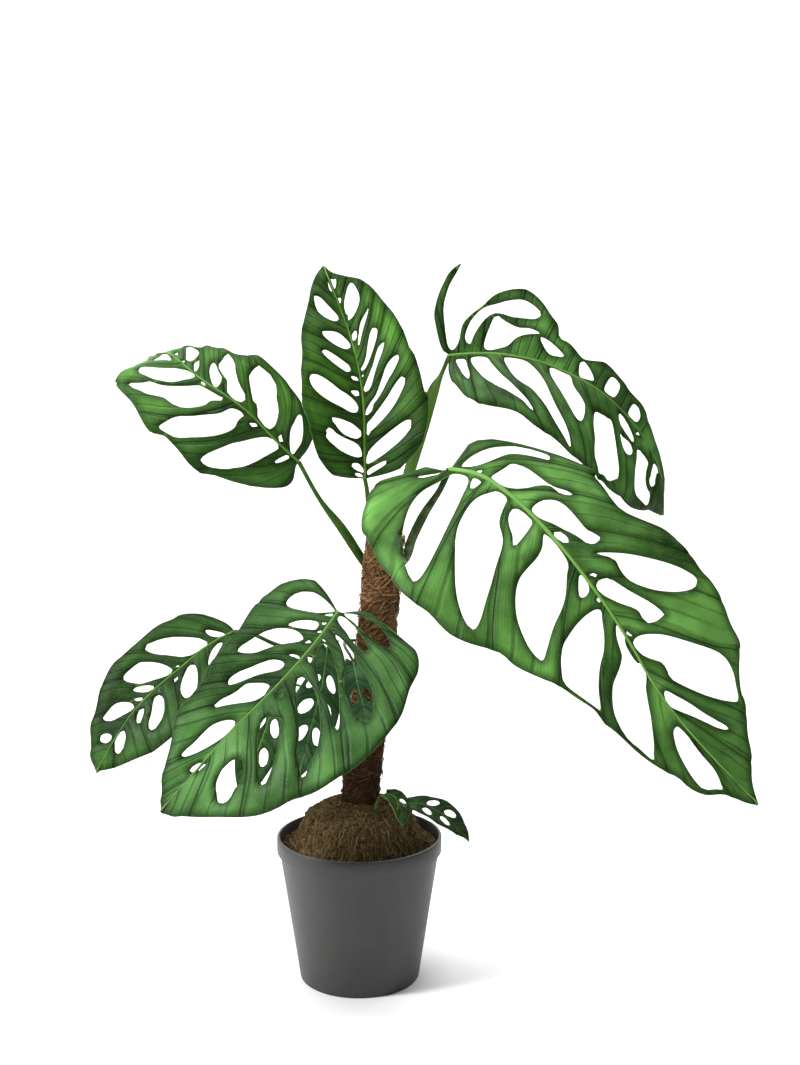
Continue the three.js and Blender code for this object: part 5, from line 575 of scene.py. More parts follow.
# Lower left, behind leaf_e
LEAVES["leaf_f"] = dict(
    midrib=[(-124, -14, 366), (-150, -24, 353), (-177, -34, 332), (-205, -42, 309), (-231, -48, 279),
            (-260, -52, 230)],
    face=[(-0.1, -0.7, 0.7), (-0.2, -0.8, 0.6), (-0.3, -0.9, 0.35)],
    rib=1.8,
    right=half(
        bow=0.1, lift=[12, 12, 8], curl=[16, 16, 12],
        veins=[(0, 3, 14), (13, 40, 49), (51, 100, 52), (88, 130, 46), (128, 158, 33), (161, 183, 19),
               (201, 201, 0)],
        margin=[0,1.1, 0.5,1.15, 0.75,1.12, 0.85,1.06, 1,1, 1.15,0.99, 1.3,1.015, 2.7,1.01, 3,1, 3.3,0.975,
                3.6,0.965, 3.9,0.98, 4.1,1.01, 4.9,0.99, 5.2,1.03, 5.5,1.08, 5.8,1.1],
        windows=[
            [0.85,0.05, 0.88,0.12, 0.97,0.2, 1.05,0.28, 1.13,0.32, 1.2,0.27, 1.22,0.17, 1.2,0.1, 1.1,0.04,
             0.98,0.03, 0.9,0.03],
            [1.75,0.84, 1.65,0.78, 1.55,0.7, 1.48,0.55, 1.45,0.4, 1.41,0.25, 1.42,0.12, 1.45,0.03, 1.6,0.03,
             1.8,0.04, 1.93,0.09, 2,0.2, 2.01,0.4, 2.02,0.55, 1.97,0.68, 1.88,0.79],
            [2.31,0.07, 2.34,0.11, 2.39,0.08, 2.38,0.04, 2.33,0.035],
            [2.38,0.66, 2.5,0.68, 2.65,0.7, 2.8,0.725, 2.93,0.71, 3.03,0.65, 3.1,0.55, 3.13,0.42, 3.12,0.32,
             3.05,0.25, 2.95,0.18, 2.85,0.1, 2.72,0.05, 2.57,0.06, 2.48,0.14, 2.4,0.28, 2.36,0.42,
             2.35,0.55],
            [3.3,0.4, 3.36,0.38, 3.4,0.3, 3.4,0.17, 3.35,0.06, 3.27,0.03, 3.2,0.05, 3.17,0.13, 3.2,0.27],
            [3.62,0.23, 3.66,0.2, 3.68,0.12, 3.65,0.05, 3.6,0.035, 3.56,0.06, 3.58,0.16],
            [4.1,0.73, 4,0.69, 3.88,0.64, 3.77,0.58, 3.72,0.48, 3.73,0.32, 3.78,0.18, 3.87,0.08, 3.95,0.08,
             4.05,0.15, 4.15,0.24, 4.25,0.35, 4.29,0.46, 4.27,0.58, 4.2,0.68],
            [4.75,0.65, 4.88,0.66, 4.97,0.6, 5.02,0.5, 5.07,0.4, 5.06,0.28, 5,0.2, 4.9,0.22, 4.8,0.32,
             4.75,0.42, 4.72,0.55],
        ],
    ),
    left=half(
        bow=0.1, lift=[10, 10, 8], curl=[16, 16, 12],
        veins=[(0, 5, 15), (35, 60, 46), (76, 103, 57), (127, 147, 44), (162, 185, 14), (201, 201, 0)],
        margin=[0,1, 2.4,1, 3,1.02, 3.5,1.02, 4,1.03, 4.4,0.99, 4.6,0.93, 4.75,0.83, 4.85,0.75],
        windows=[
            [0.45,0.22, 0.5,0.28, 0.6,0.36, 0.75,0.42, 0.9,0.45, 1,0.42, 1,0.35, 0.93,0.25, 0.82,0.18,
             0.7,0.13, 0.58,0.11, 0.48,0.14],
            [1.46,0.62, 1.55,0.64, 1.65,0.62, 1.8,0.57, 1.86,0.5, 1.9,0.4, 1.88,0.3, 1.8,0.22, 1.72,0.15,
             1.62,0.1, 1.52,0.09, 1.43,0.13, 1.38,0.22, 1.38,0.35, 1.41,0.5],
            [1.9,0.1, 1.92,0.15, 1.98,0.16, 2.01,0.12, 1.98,0.08, 1.93,0.08],
            [2.21,0.1, 2.23,0.16, 2.26,0.15, 2.27,0.1, 2.24,0.08],
            [2.6,0.64, 2.7,0.66, 2.8,0.64, 2.84,0.56, 2.8,0.47, 2.72,0.38, 2.63,0.27, 2.55,0.16, 2.47,0.12,
             2.38,0.18, 2.34,0.27, 2.36,0.38, 2.4,0.5, 2.48,0.58],
            [2.82,0.1, 2.8,0.15, 2.85,0.22, 2.95,0.28, 3.02,0.32, 3.08,0.28, 3.07,0.2, 3,0.12, 2.9,0.09],
            [3.8,0.66, 3.73,0.62, 3.62,0.5, 3.55,0.38, 3.53,0.25, 3.55,0.15, 3.65,0.08, 3.8,0.068,
             3.98,0.09, 4.02,0.12, 4.02,0.3, 4,0.45, 3.93,0.58, 3.87,0.64],
        ],
    ),
    petiole=[(-104, -10, 361), (-84, -2, 350), (-50, 12, 336), (-22, 24, 326), (4, 30, 318)],
    sizes=[(2, 2), (2.2, 2.2), (2.6, 2.4), (3.6, 2.8), (3.6, 3), (3.4, 3.2)],
)

# Younger leaves between leaf_e and the pole
LEAVES["leaf_g"] = young_leaf(
    midrib=[(-30, -34, 352), (-34, -48, 322), (-44, -58, 284), (-58, -62, 228)],
    face=[(-0.3, -0.9, 0.3), (-0.2, -1, 0.1), (-0.1, -1, -0.1)],
    petiole=[(-28, -24, 356), (-28, -4, 348), (-22, 16, 312), (-10, 28, 262), (-1, 30, 244)],
    width=25, cells=4,
)

LEAVES["leaf_h"] = young_leaf(
    midrib=[(-78, -34, 310), (-88, -50, 282), (-102, -62, 244), (-114, -66, 206)],
    face=[(-0.3, -0.9, 0.3), (-0.2, -1, 0.1), (-0.1, -1, -0.1)],
    petiole=[(-68, -22, 314), (-50, -2, 300), (-30, 18, 262), (-14, 28, 226), (-5, 29, 212)],
    width=22, cells=3,
)

LEAVES["leaf_i"] = young_leaf(
    midrib=[(-4, -42, 340), (0, -52, 322), (6, -56, 298), (10, -56, 268)],
    face=[(0, -0.9, 0.4), (0, -1, 0.1), (0, -1, -0.1)],
    petiole=[(-8, -34, 346), (-13, -18, 350), (-14, 2, 352), (-6, 20, 350), (8, 29, 348)],
    width=16, cells=2,
)

# Small leaves that rise from the soil at the right
LEAVES["leaf_j"] = young_leaf(
    midrib=[(28, -36, 204), (37, -42, 202), (43, -48, 191), (45, -50, 174)],
    face=[(-0.2, -0.3, 1), (0.5, -0.6, 0.6), (0.8, -0.7, 0.1)],
    petiole=[(20, -31, 198), (16, -27, 180), (16, -25, 150)],
    width=12, cells=2,
)

LEAVES["leaf_k"] = young_leaf(
    midrib=[(50, -12, 186), (66, -22, 188), (86, -30, 180), (104, -34, 164), (112, -36, 154)],
    face=[(0, -0.5, 0.9), (0.3, -0.5, 0.8), (0.6, -0.5, 0.6)],
    petiole=[(40, -6, 180), (34, -2, 164), (33, 0, 142)],
    width=17, cells=3,
)

# Greens of each leaf: darkest and lightest of its upper side, and its petiole. Between the two, the upper
# side mixes random tone with painted light and shade.
GREENS = {
    "leaf_a": ((16, 42, 8), (94, 150, 64), (72, 114, 46)),
    "leaf_b": ((16, 42, 8), (76, 126, 44), (72, 110, 46)),
    "leaf_c": ((12, 36, 6), (96, 150, 72), (92, 126, 60)),
    "leaf_d": ((12, 38, 6), (104, 160, 76), (26, 48, 20)),
    "leaf_e": ((14, 38, 12), (80, 126, 64), (62, 92, 46)),
    "leaf_f": ((10, 32, 8), (62, 104, 44), (48, 76, 36)),
    "leaf_g": ((26, 56, 32), (72, 108, 68), (62, 88, 54)),
    "leaf_h": ((16, 42, 16), (58, 98, 48), (50, 80, 40)),
    "leaf_i": ((34, 66, 44), (84, 118, 84), (66, 92, 60)),
    "leaf_j": ((26, 52, 20), (66, 100, 48), (64, 92, 48)),
    "leaf_k": ((12, 36, 12), (50, 86, 38), (50, 78, 38)),
}


def plain_object(name, bm, materials, smooth=True):
    """Turns a bmesh into an object at the origin."""
    mesh = bpy.data.meshes.new(name)
    bm.to_mesh(mesh)
    bm.free()
    if smooth:
        mesh.shade_smooth()
    for material in materials:
        mesh.materials.append(material)
    piece = bpy.data.objects.new(name, mesh)
    bpy.context.scene.collection.objects.link(piece)
    return piece


def new_object(name, bm, materials, replaced, smooth=True):
    """Turns a bmesh into a piece that rides with the plant and stands for a solid."""
    piece = plain_object(name, bm, materials, smooth)
    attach(piece, "root")
    for node in replaced:
        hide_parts(node)
    return piece


def fresh_verts(made):
    """Vertices among what an extrusion made."""
    return [v for v in made["geom"] if isinstance(v, bmesh.types.BMVert)]


def cut(bm, place, direction):
    """Cuts everything along a plane and keeps both sides."""
    geometry = bm.verts[:] + bm.edges[:] + bm.faces[:]
    bmesh.ops.bisect_plane(bm, geom=geometry, dist=1e-6, plane_co=place, plane_no=direction)


def flat_sheet(half_blade, rib, last, fineness):
    """Half a blade laid out in vein numbers and shares, its windows open, cut into a net."""
    bm = bmesh.new()
    margin = smoothed(half_blade["margin"] + [(last, half_blade["margin"][-1][1])], False)
    loops = [[(0, 0), (last, 0), *reversed(margin)]]
    loops += [smoothed(window, True) for window in half_blade["windows"]]
    for loop in loops:
        verts = [bm.verts.new((v, q, 0)) for v, q in loop]
        for a, b in zip(verts, verts[1:] + verts[:1]):
            bm.edges.new((a, b))
    bmesh.ops.triangle_fill(bm, use_beauty=True, edges=bm.edges, normal=(0, 0, 1))
    reach = max(row[2] for row in half_blade["veins"])
    across = max(6, round(reach / fineness))
    per_vein = max(4, round(rib.length / (len(half_blade["veins"]) - 1) / fineness / 2) * 2)
    first = int(min(v for v, _ in margin) * per_vein) - 1
    for k in range(first, int(last * per_vein) + 1):
        cut(bm, (k / per_vein, 0, 0), (1, 0, 0))
    for k in range(1, int(1.3 * across)):
        cut(bm, (0, k / across, 0), (0, 1, 0))
    slanted = []
    for edge in bm.edges:
        run = edge.verts[1].co - edge.verts[0].co
        if len(edge.link_faces) == 2 and abs(run.x) > 1e-5 and abs(run.y) > 1e-5:
            slanted.append(edge)
    bmesh.ops.dissolve_edges(bm, edges=slanted, use_verts=True, use_face_split=False)
    return bm


def cut_edges(bm, flat):
    """Tree of points along the margin and the windows, to measure distances from."""
    places = []
    for edge in bm.edges:
        middle = (edge.verts[0].co + edge.verts[1].co) / 2
        if edge.is_boundary and middle.y > 1e-4:
            a, b = flat[edge.verts[0]], flat[edge.verts[1]]
            places += [((a[0] * (3 - k) + b[0] * k) / 3, (a[1] * (3 - k) + b[1] * k) / 3) for k in range(3)]
    tree = kdtree.KDTree(len(places))
    for k, (x, y) in enumerate(places):
        tree.insert((x, y, 0), k)
    tree.balance()
    return tree


def blade_half(leaf, rib, sign, fineness):
    """Half a blade as one bent sheet, with the distances that its material reads."""
    half_blade = leaf["right"] if sign > 0 else leaf["left"]
    last = len(half_blade["veins"]) - 1.02
    bm = flat_sheet(half_blade, rib, last, fineness)
    uv = bm.loops.layers.uv.new("veins")
    rim_layer = bm.verts.layers.float.new("rim")
    lateral_layer = bm.verts.layers.float.new("lateral")
    flat = {vert: on_vein(half_blade, vert.co.x, vert.co.y) for vert in bm.verts}
    tree = cut_edges(bm, flat)
    for face in bm.faces:
        for loop in face.loops:
            loop[uv].uv = (loop.vert.co.x, loop.vert.co.y)
    swell = min(rib.length / 300, 1)
    for vert in bm.verts:
        v, q = vert.co.x, vert.co.y
        x, y = flat[vert]
        to_rim = tree.find((x, y, 0))[2]
        low, high = on_vein(half_blade, v - 0.04, q), on_vein(half_blade, min(v + 0.04, last), q)
        pitch = math.hypot(high[0] - low[0], high[1] - low[1]) / 0.08
        to_vein = abs(v - round(v)) * pitch
        vert[rim_layer] = to_rim
        vert[lateral_layer] = to_vein
        relief = -RIM_DROP * swell * math.exp(-to_rim / RIM_FADE)
        relief -= VALLEY_DROP * swell * math.exp(-((to_vein / VALLEY_FADE) ** 2)) * min(q * 6, 1)
        relief += RIPPLE * swell * math.cos(v * FULL_TURN * RIPPLES_PER_VEIN) * math.sin(math.pi * min(q, 1))
        relief += WAVE * swell * math.sin(v * FULL_TURN + rib.length) * q ** 3
        relief += WARP * noise.noise(Vector((x / WARP_SPACING, y / WARP_SPACING, rib.length))) * min(q * 3, 1)
        vert.co = on_blade(leaf, rib, x, sign * y, relief * min(q * 8, 1) + SKIN) * MM
    if sign > 0:
        bmesh.ops.reverse_faces(bm, faces=bm.faces)
    return bm


def blade(name, leaf, materials, fineness, thickness):
    """Both half blades as one object, thickened by a Solidify modifier."""
    rib = Midrib(leaf)
    whole = blade_half(leaf, rib, 1, fineness)
    other = blade_half(leaf, rib, -1, fineness)
    spare = bpy.data.meshes.new("spare")
    other.to_mesh(spare)
    other.free()
    whole.from_mesh(spare)
    bpy.data.meshes.remove(spare)
    piece = new_object(name + "_blade", whole, materials, [name])
    shell = piece.modifiers.new("Thickness", "SOLIDIFY")
    shell.thickness = thickness
    shell.offset = -1
    shell.use_even_offset = False
    shell.material_offset = 1
    shell.material_offset_rim = 2


def sweep(bm, course, sizes, sides, rings, across_hint, section=None):
    """Rod along a course of points; sizes are rows of half width across and through, read along it."""
    start = bmesh.ops.create_circle(bm, segments=sides, radius=1, cap_ends=False)["verts"]
    ring = sorted(start, key=lambda v: math.atan2(v.co.y, v.co.x) % FULL_TURN)
    last = len(course) - 1
    across = Vector(across_hint)
    uv = bm.loops.layers.uv.verify()
    rounds = []
    for r in range(rings + 1):
        share = r / rings
        here = Vector(spline(course, share * last))
        ahead = Vector(spline(course, min(share * last + 0.02, last)))
        ahead = (ahead - Vector(spline(course, max(share * last - 0.02, 0)))).normalized()
        across = (across - ahead * across.dot(ahead)).normalized()
        through = ahead.cross(across)
        wide, deep = spline(sizes, share * (len(sizes) - 1))
        if r > 0:
            edges = [e for e in {e for v in ring for e in v.link_edges} if set(e.verts) <= set(ring)]
            fresh = set(fresh_verts(bmesh.ops.extrude_edge_only(bm, edges=edges)))
            ring = [next(e.other_vert(v) for e in v.link_edges if e.other_vert(v) in fresh) for v in ring]
        for k, vert in enumerate(ring):
            a = FULL_TURN * k / sides
            u, w = section(a, wide, deep) if section else (math.cos(a) * wide, math.sin(a) * deep)
            vert.co = (here + across * u + through * w) * MM
        rounds.append(ring)
    bm.faces.new(rounds[0][::-1])
    bm.faces.new(rounds[-1])
    place = {v: (k, r / rings) for r, ring in enumerate(rounds) for k, v in enumerate(ring)}
    for face in {f for v in place for f in v.link_faces}:
        turns = [place[loop.vert][0] for loop in face.loops]
        wraps = len(turns) == 4 and max(turns) == sides - 1 and min(turns) == 0
        for loop, k in zip(face.loops, turns):
            loop[uv].uv = (1 if wraps and k == 0 else k / sides, place[loop.vert][1])
    return rounds


def winged(a, wide, deep):
    """Section of a petiole: a rod with a flat channel above and two thin wings."""
    c, s = math.cos(a), math.sin(a)
    core = min(wide, deep)
    wing = (wide - core) * abs(c) ** 7
    channel = 0.55 if s > 0 else 1.0
    return c * core + math.copysign(wing, c), s * deep * channel + (wide - core) * 0.35 * abs(c) ** 9


def petiole(name, leaf, materials):
    """Petiole with its sheath, and the midrib that it runs into."""
    rib = Midrib(leaf)
    bm = bmesh.new()
    side = rib.frame(0)[3]
    ribs = []
    for k in range(13):
        here, _, up, _ = rib.frame((rib.length - 2) * k / 12)
        ribs.append(here + up * 0.1)
    thick = leaf["rib"]
    sizes = [(thick * 0.8, thick * 0.8), (thick * 0.62, thick * 0.6), (thick * 0.4, thick * 0.42), (0.5, 0.5)]
    sweep(bm, ribs, sizes, 10, max(24, round(rib.length / 6)), side)
    for face in bm.faces:
        face.material_index = 1
    course = [ribs[0]] + [Vector(p) for p in leaf["petiole"]]
    length = sum((b - a).length for a, b in zip(course, course[1:]))
    sweep(bm, course, leaf["sizes"], 20, max(16, round(length / 4)), leaf.get("wings", side), winged)
    bmesh.ops.recalc_face_normals(bm, faces=bm.faces)
    new_object(name + "_petiole", bm, materials, [name])


class Nodes:
    """Short way to lay out a material's nodes."""

    def __init__(self, name):
        self.material = bpy.data.materials.new(name)
        self.material.use_nodes = True
        self.tree = self.material.node_tree

    def connect(self, socket, value):
        if isinstance(value, bpy.types.NodeSocket):
            self.tree.links.new(value, socket)
        else:
            socket.default_value = value

    def add(self, kind, inputs=(), **settings):
        node = self.tree.nodes.new(kind)
        for key, value in settings.items():
            setattr(node, key, value)
        for key, value in dict(inputs).items():
            self.connect(node.inputs[key], value)
        return node

    def math(self, operation, a, b=0.0):
        return self.add("ShaderNodeMath", {0: a, 1: b}, operation=operation).outputs[0]

    def times(self, a, b):
        return self.math("MULTIPLY", a, b)

    def plus(self, a, b):
        return self.math("ADD", a, b)

    def place(self):
        return self.add("ShaderNodeTexCoord").outputs["Object"]

    def axis(self, vector, k):
        return self.add("ShaderNodeSeparateXYZ", {0: vector}).outputs[k]

    def field(self, name):
        return self.add("ShaderNodeAttribute", attribute_name=name).outputs["Fac"]

    def unwrapped(self, name):
        return self.add("ShaderNodeUVMap", uv_map=name).outputs[0]

    def tint(self, colour, other, mask, strength=1.0):
        """Moves a colour towards another where the mask is high."""
        share = mask if strength == 1.0 else self.times(mask, strength)
        ends = [c if isinstance(c, bpy.types.NodeSocket) else (*c, 1) for c in (colour, other)]
        return self.add("ShaderNodeMix", {0: share, 6: ends[0], 7: ends[1]}, data_type="RGBA").outputs[2]

    def noise(self, where, scale, detail=3.0, roughness=0.55):
        inputs = {"Vector": where, "Scale": scale, "Detail": detail, "Roughness": roughness}
        return self.add("ShaderNodeTexNoise", inputs).outputs["Fac"]

    def band(self, value, low, high):
        """0 at low, 1 at high."""
        inputs = {"Value": value, "From Min": low, "From Max": high}
        return self.add("ShaderNodeMapRange", inputs, clamp=True).outputs[0]

    def spread(self, value, low, high):
        """Low at 0, high at 1."""
        return self.add("ShaderNodeMapRange", {"Value": value, "To Min": low, "To Max": high}).outputs[0]

    def bump(self, height, distance, strength):
        inputs = {"Height": height, "Distance": distance, "Strength": strength}
        return self.add("ShaderNodeBump", inputs).outputs[0]

    def out(self, **inputs):
        shader = self.tree.nodes["Principled BSDF"]
        for key, value in inputs.items():
            self.connect(shader.inputs[key.replace("_", " ")], value)
        return self.material


def srgb(red, green, blue):
    """Colour from 0 to 255 values as seen on a screen."""
    return tuple((c / 255) ** 2.2 for c in (red, green, blue))


def mix_colours(a, b, share):
    return tuple(x + (y - x) * share for x, y in zip(a, b))


def darker(colour, share):
    return tuple(c * share for c in colour)


def upper_side(name, dark, light, vein):
    """Upper side of a blade: ridges lightened by painted light, between grooves darkened by painted shade
    that run beside the lateral veins.
    """
    n = Nodes(name)
    where = n.place()
    uv = n.unwrapped("veins")
    v, q = n.axis(uv, 0), n.axis(uv, 1)
    rim, lateral = n.field("rim"), n.field("lateral")
    shadow = darker(dark, 0.35)
    patches = n.noise(where, 13.0)
    # Light green in random patches, kept to the ridges: painted light on the ridges, and painted shade fading
    # in over 8 mm towards the margin and windows and over 9 mm towards the lateral veins
    patches_and_painted_light = n.times(n.band(patches, 0.3, 0.64), n.band(rim, 0.0, 8.0))
    valley = n.band(lateral, 0.0, 9.0)
    patches_and_painted_light = n.times(patches_and_painted_light, n.plus(n.times(valley, 0.45), 0.55))
    colour = n.tint(dark, light, n.plus(n.times(patches_and_painted_light, 0.96), 0.04))
    # Painted shade: dark lines in the grooves along the lateral veins, three per vein and deeper in random
    # places, with faint fine lines between; the same grooves are also bumped
    wobble = n.times(n.noise(where, 14.0, 1.0), 0.3)
    course = n.times(n.plus(v, wobble), FULL_TURN)
    grooves = n.band(n.math("SINE", n.times(course, 3.0)), 0.72, 1.0)
    deep = n.band(n.noise(where, 30.0, 2.0), 0.35, 0.65)
    colour = n.tint(colour, shadow, n.times(grooves, deep), 0.45)
    fine = n.math("SINE", n.times(course, 23.0))
    colour = n.tint(colour, shadow, n.band(fine, 0.0, 1.0), 0.05)
    cells = {"Vector": where, "Scale": 420.0}
    net = n.band(n.add("ShaderNodeTexVoronoi", cells, feature="DISTANCE_TO_EDGE").outputs[0], 0.0, 0.12)
    colour = n.tint(colour, vein, n.math("SUBTRACT", 1.0, net), 0.1)
    # Painted shade: darker within 1.5 mm of each lateral vein, where the blade dips into its valley
    beside = n.band(lateral, 1.5, 0.2)
    colour = n.tint(colour, shadow, beside, 0.55)
    colour = n.tint(colour, vein, n.band(q, 0.03, 0.0), 0.35)
    # Painted highlight: paler within 0.7 mm of the margin and the windows, along the cut edges
    colour = n.tint(colour, vein, n.band(rim, 0.7, 0.0), 0.4)
    height = n.plus(n.times(fine, 0.05), n.times(net, 0.12))
    height = n.plus(height, n.times(n.noise(where, 260.0, 2.0), 0.2))
    height = n.plus(height, n.times(n.plus(grooves, beside), -0.9))
    return n.out(Base_Color=colour, Roughness=n.spread(patches, 0.32, 0.46),
                 Normal=n.bump(height, 0.0009, 0.9), Specular_IOR_Level=0.1)


def under_side(name, dark, light, vein):
    """Underside: paler and duller, with raised pale veins."""
    n = Nodes(name)
    where = n.place()
    v = n.axis(n.unwrapped("veins"), 0)
    colour = n.tint(dark, light, n.band(n.noise(where, 22.0, 4.0), 0.3, 0.7))
    stripes = n.math("SINE", n.times(v, FULL_TURN * 9))
    colour = n.tint(colour, vein, n.band(stripes, 0.2, 1.0), 0.2)
    near_vein = n.band(n.field("lateral"), 1.2, 0.2)
    colour = n.tint(colour, vein, near_vein, 0.6)
    height = n.plus(near_vein, n.times(n.noise(where, 200.0), 0.4))
    relief = n.bump(height, 0.0005, 0.7)
    return n.out(Base_Color=colour, Roughness=0.62, Normal=relief, Specular_IOR_Level=0.1)


def stalk_surface(name, light, dark):
    """Petioles and midribs: streaked along their length."""
    n = Nodes(name)
    where = n.place()
    stretch = n.add("ShaderNodeMapping", {0: n.unwrapped("UVMap"), 3: (26.0, 4.0, 1.0)}).outputs[0]
    streaks = n.noise(stretch, 2.0)
    colour = n.tint(dark, light, n.band(streaks, 0.35, 0.65))
    dry = mix_colours(light, (0.3, 0.34, 0.12), 0.3)
    colour = n.tint(colour, dry, n.band(n.noise(where, 60.0), 0.5, 0.8))
    height = n.plus(streaks, n.times(n.noise(where, 420.0), 0.5))
    relief = n.bump(height, 0.0004, 0.6)
    return n.out(Base_Color=colour, Roughness=0.48, Normal=relief, Specular_IOR_Level=0.12)


def fibrous(name, light, dark, scale=300.0, low_darkening=0.0):
    """Coir and other fibre: each fibre its own brown, darker in patches and low down."""
    n = Nodes(name)
    where = n.place()
    fine = n.noise(where, scale, 3.0, 0.6)
    share = n.plus(n.times(n.field("tone"), 0.75), n.times(fine, 0.35))
    colour = n.tint(dark, light, share)
    colour = n.tint(colour, darker(dark, 0.5), n.band(n.noise(where, 60.0), 0.45, 0.75), 0.35)
    # Darker towards the bottom, below 0.4 m
    low_down = n.band(n.axis(where, 2), 0.4, 0.24)
    colour = n.tint(colour, darker(dark, 0.4), low_down, low_darkening)
    relief = n.bump(fine, 0.0006, 0.9)
    return n.out(Base_Color=colour, Roughness=0.85, Normal=relief, Specular_IOR_Level=0.1)


def earthy(name, light, dark):
    """Peat and bark: dark, rough and patchy."""
    n = Nodes(name)
    where = n.place()
    coarse, fine = n.noise(where, 90.0, 5.0, 0.7), n.noise(where, 420.0, 4.0, 0.7)
    colour = n.tint(dark, light, n.band(n.times(n.plus(coarse, fine), 0.5), 0.35, 0.68))
    height = n.plus(coarse, n.times(fine, 0.5))
    relief = n.bump(height, 0.0035, 1.0)
    return n.out(Base_Color=colour, Roughness=0.96, Normal=relief, Specular_IOR_Level=0.15)


def moulded(name, tone):
    """Moulded plastic: satin, with a very fine grain."""
    n = Nodes(name)
    where = n.place()
    scuffs = n.noise(where, 25.0, 4.0)
    colour = n.tint(tone, tuple(min(c * 1.5, 1) for c in tone), n.band(scuffs, 0.45, 0.8))
    return n.out(Base_Color=colour, Roughness=n.spread(scuffs, 0.4, 0.58),
                 Normal=n.bump(n.noise(where, 900.0, 2.0), 0.0002, 0.35))


def fibre(sides, parts):
    """Mesh of a straight closed fibre one unit long, split along its length."""
    bm = bmesh.new()
    bmesh.ops.create_cone(bm, cap_ends=True, segments=sides, radius1=1, radius2=1, depth=1)
    for k in range(1, parts):
        cut(bm, (0, 0, k / parts - 0.5), (0, 0, 1))
    mesh = bpy.data.meshes.new("fibre")
    bm.to_mesh(mesh)
    bm.free()
    return mesh


def strands(courses, sides=3, parts=4):
    """Many bent fibres in one bmesh; a course is its points, its radius and its tone."""
    straight = fibre(sides, parts)
    bm = bmesh.new()
    for _ in courses:
        bm.from_mesh(straight)
    tone = bm.verts.layers.float.new("tone")
    bm.verts.ensure_lookup_table()
    size = len(straight.vertices)
    for i, (points, radius, shade) in enumerate(courses):
        last = len(points) - 1
        across = (points[last] - points[0]).orthogonal().normalized()
        for vert in bm.verts[i * size:(i + 1) * size]:
            share = vert.co.z + 0.5
            t = share * last
            k = min(int(t + 1e-4), last)
            here = points[k].lerp(points[min(k + 1, last)], t - k)
            ahead = (points[min(k + 1, last)] - points[max(k - 1, 0)]).normalized()
            side = (across - ahead * across.dot(ahead)).normalized()
            slim = radius * (0.5 if share < 0.01 or share > 0.99 else 1)
            vert.co = (here + side * (vert.co.x * slim) + ahead.cross(side) * (vert.co.y * slim)) * MM
            vert[tone] = shade
    bpy.data.meshes.remove(straight)
    return bm


def grains(places):
    """Many lumps in one bmesh; a place is a point, three half sizes and a turn."""
    bm = bmesh.new()
    for where, size, turn in places:
        for vert in bmesh.ops.create_icosphere(bm, subdivisions=1, radius=1)["verts"]:
            bump = 1 + 0.25 * noise.noise(vert.co * 1.7 + where)
            vert.co = (where + turn @ Vector(c * s * bump for c, s in zip(vert.co, size))) * MM
    return bm


def around(turn, radius, z=0):
    """Point at a turn and a distance from the upright axis."""
    return Vector((math.cos(turn) * radius, math.sin(turn) * radius, z))


def in_circle(chance, reach):
    """Random turn, and random distance from a circle's centre, even over its area."""
    turn = chance.uniform(0, FULL_TURN)
    return turn, reach * chance.random() ** 0.5


def pole_axis(z):
    """Centre of the pole at height z."""
    return POLE_TOP + (POLE_TOP - POLE_FOOT) * ((z - POLE_TOP.z) / (POLE_TOP.z - POLE_FOOT.z))


def beside_pole(z, turn, radius):
    """Point beside the pole's axis."""
    return pole_axis(z) + around(turn, radius)


def mound_height(radius):
    """Height of the soil at a distance from the pot's axis."""
    for (r0, z0), (r1, z1) in zip(MOUND, MOUND[1:]):
        if r1 <= radius <= r0:
            return z0 + (z1 - z0) * (r0 - radius) / (r0 - r1)
    return MOUND[-1][1] if radius < 1 else MOUND[0][1]


def colour_field(name, description, default):
    return bpy.props.FloatVectorProperty(
        name=name, description=description, subtype="COLOR", size=3, min=0, max=1, default=default)


def length_field(name, description, default):
    return bpy.props.FloatProperty(
        name=name, description=description, subtype="DISTANCE", unit="LENGTH", default=default)


def count_field(name, description, default):
    return bpy.props.IntProperty(name=name, description=description, min=0, default=default)


class MonsteraLeafSettings(bpy.types.PropertyGroup):
    """Sizes and colours of the leaves."""

    net: length_field("Net", "Spacing of the blade's net of faces", 0.004)
    thickness: length_field("Thickness", "Thickness of a blade", 0.0007)
    under: colour_field("Underside", "Green of the underside", srgb(88, 122, 66))
    vein: colour_field("Vein", "Colour of veins and rims", srgb(150, 186, 96))
    stalk: colour_field("Petiole", "Green of the petioles", srgb(96, 128, 52))


class MonsteraPoleSettings(bpy.types.PropertyGroup):
    """Coir pole, stake and stem."""

    fibres: count_field("Fibres", "How many loose fibres wrap the pole", 6400)
    fuzz: length_field("Fuzz", "How far loose fibres stand out", 0.003)
    light: colour_field("Light coir", "Lightest fibre", srgb(190, 146, 102))
    dark: colour_field("Dark coir", "Darkest fibre", srgb(54, 36, 25))
    stem: colour_field("Stem", "Green of the stem", srgb(84, 92, 48))


class MonsteraSoilSettings(bpy.types.PropertyGroup):
    """Root ball above the pot."""

    crumbs: count_field("Crumbs", "How many crumbs of peat and bark", 2600)
    moss: count_field("Moss", "How many moss threads and fine roots", 2600)
    light: colour_field("Light soil", "Lightest soil", srgb(104, 84, 56))
    dark: colour_field("Dark soil", "Darkest soil", srgb(38, 29, 20))


class MonsteraPotSettings(bpy.types.PropertyGroup):
    """Nursery pot."""

    sides: count_field("Sides", "Steps of the pot's round", 96)
    tone: colour_field("Plastic", "Colour of the pot", srgb(44, 44, 43))


class MonsteraStageSettings(bpy.types.PropertyGroup):
    """Floor, backdrop, lights and camera."""

    floor: colour_field("Floor", "Colour of the floor and backdrop", (0.9, 0.9, 0.9))
    key: bpy.props.FloatProperty(name="Key light", description="Power of the key light in watts", default=74)
    world: bpy.props.FloatProperty(name="Sky", description="Strength of the even white light", default=0.1)


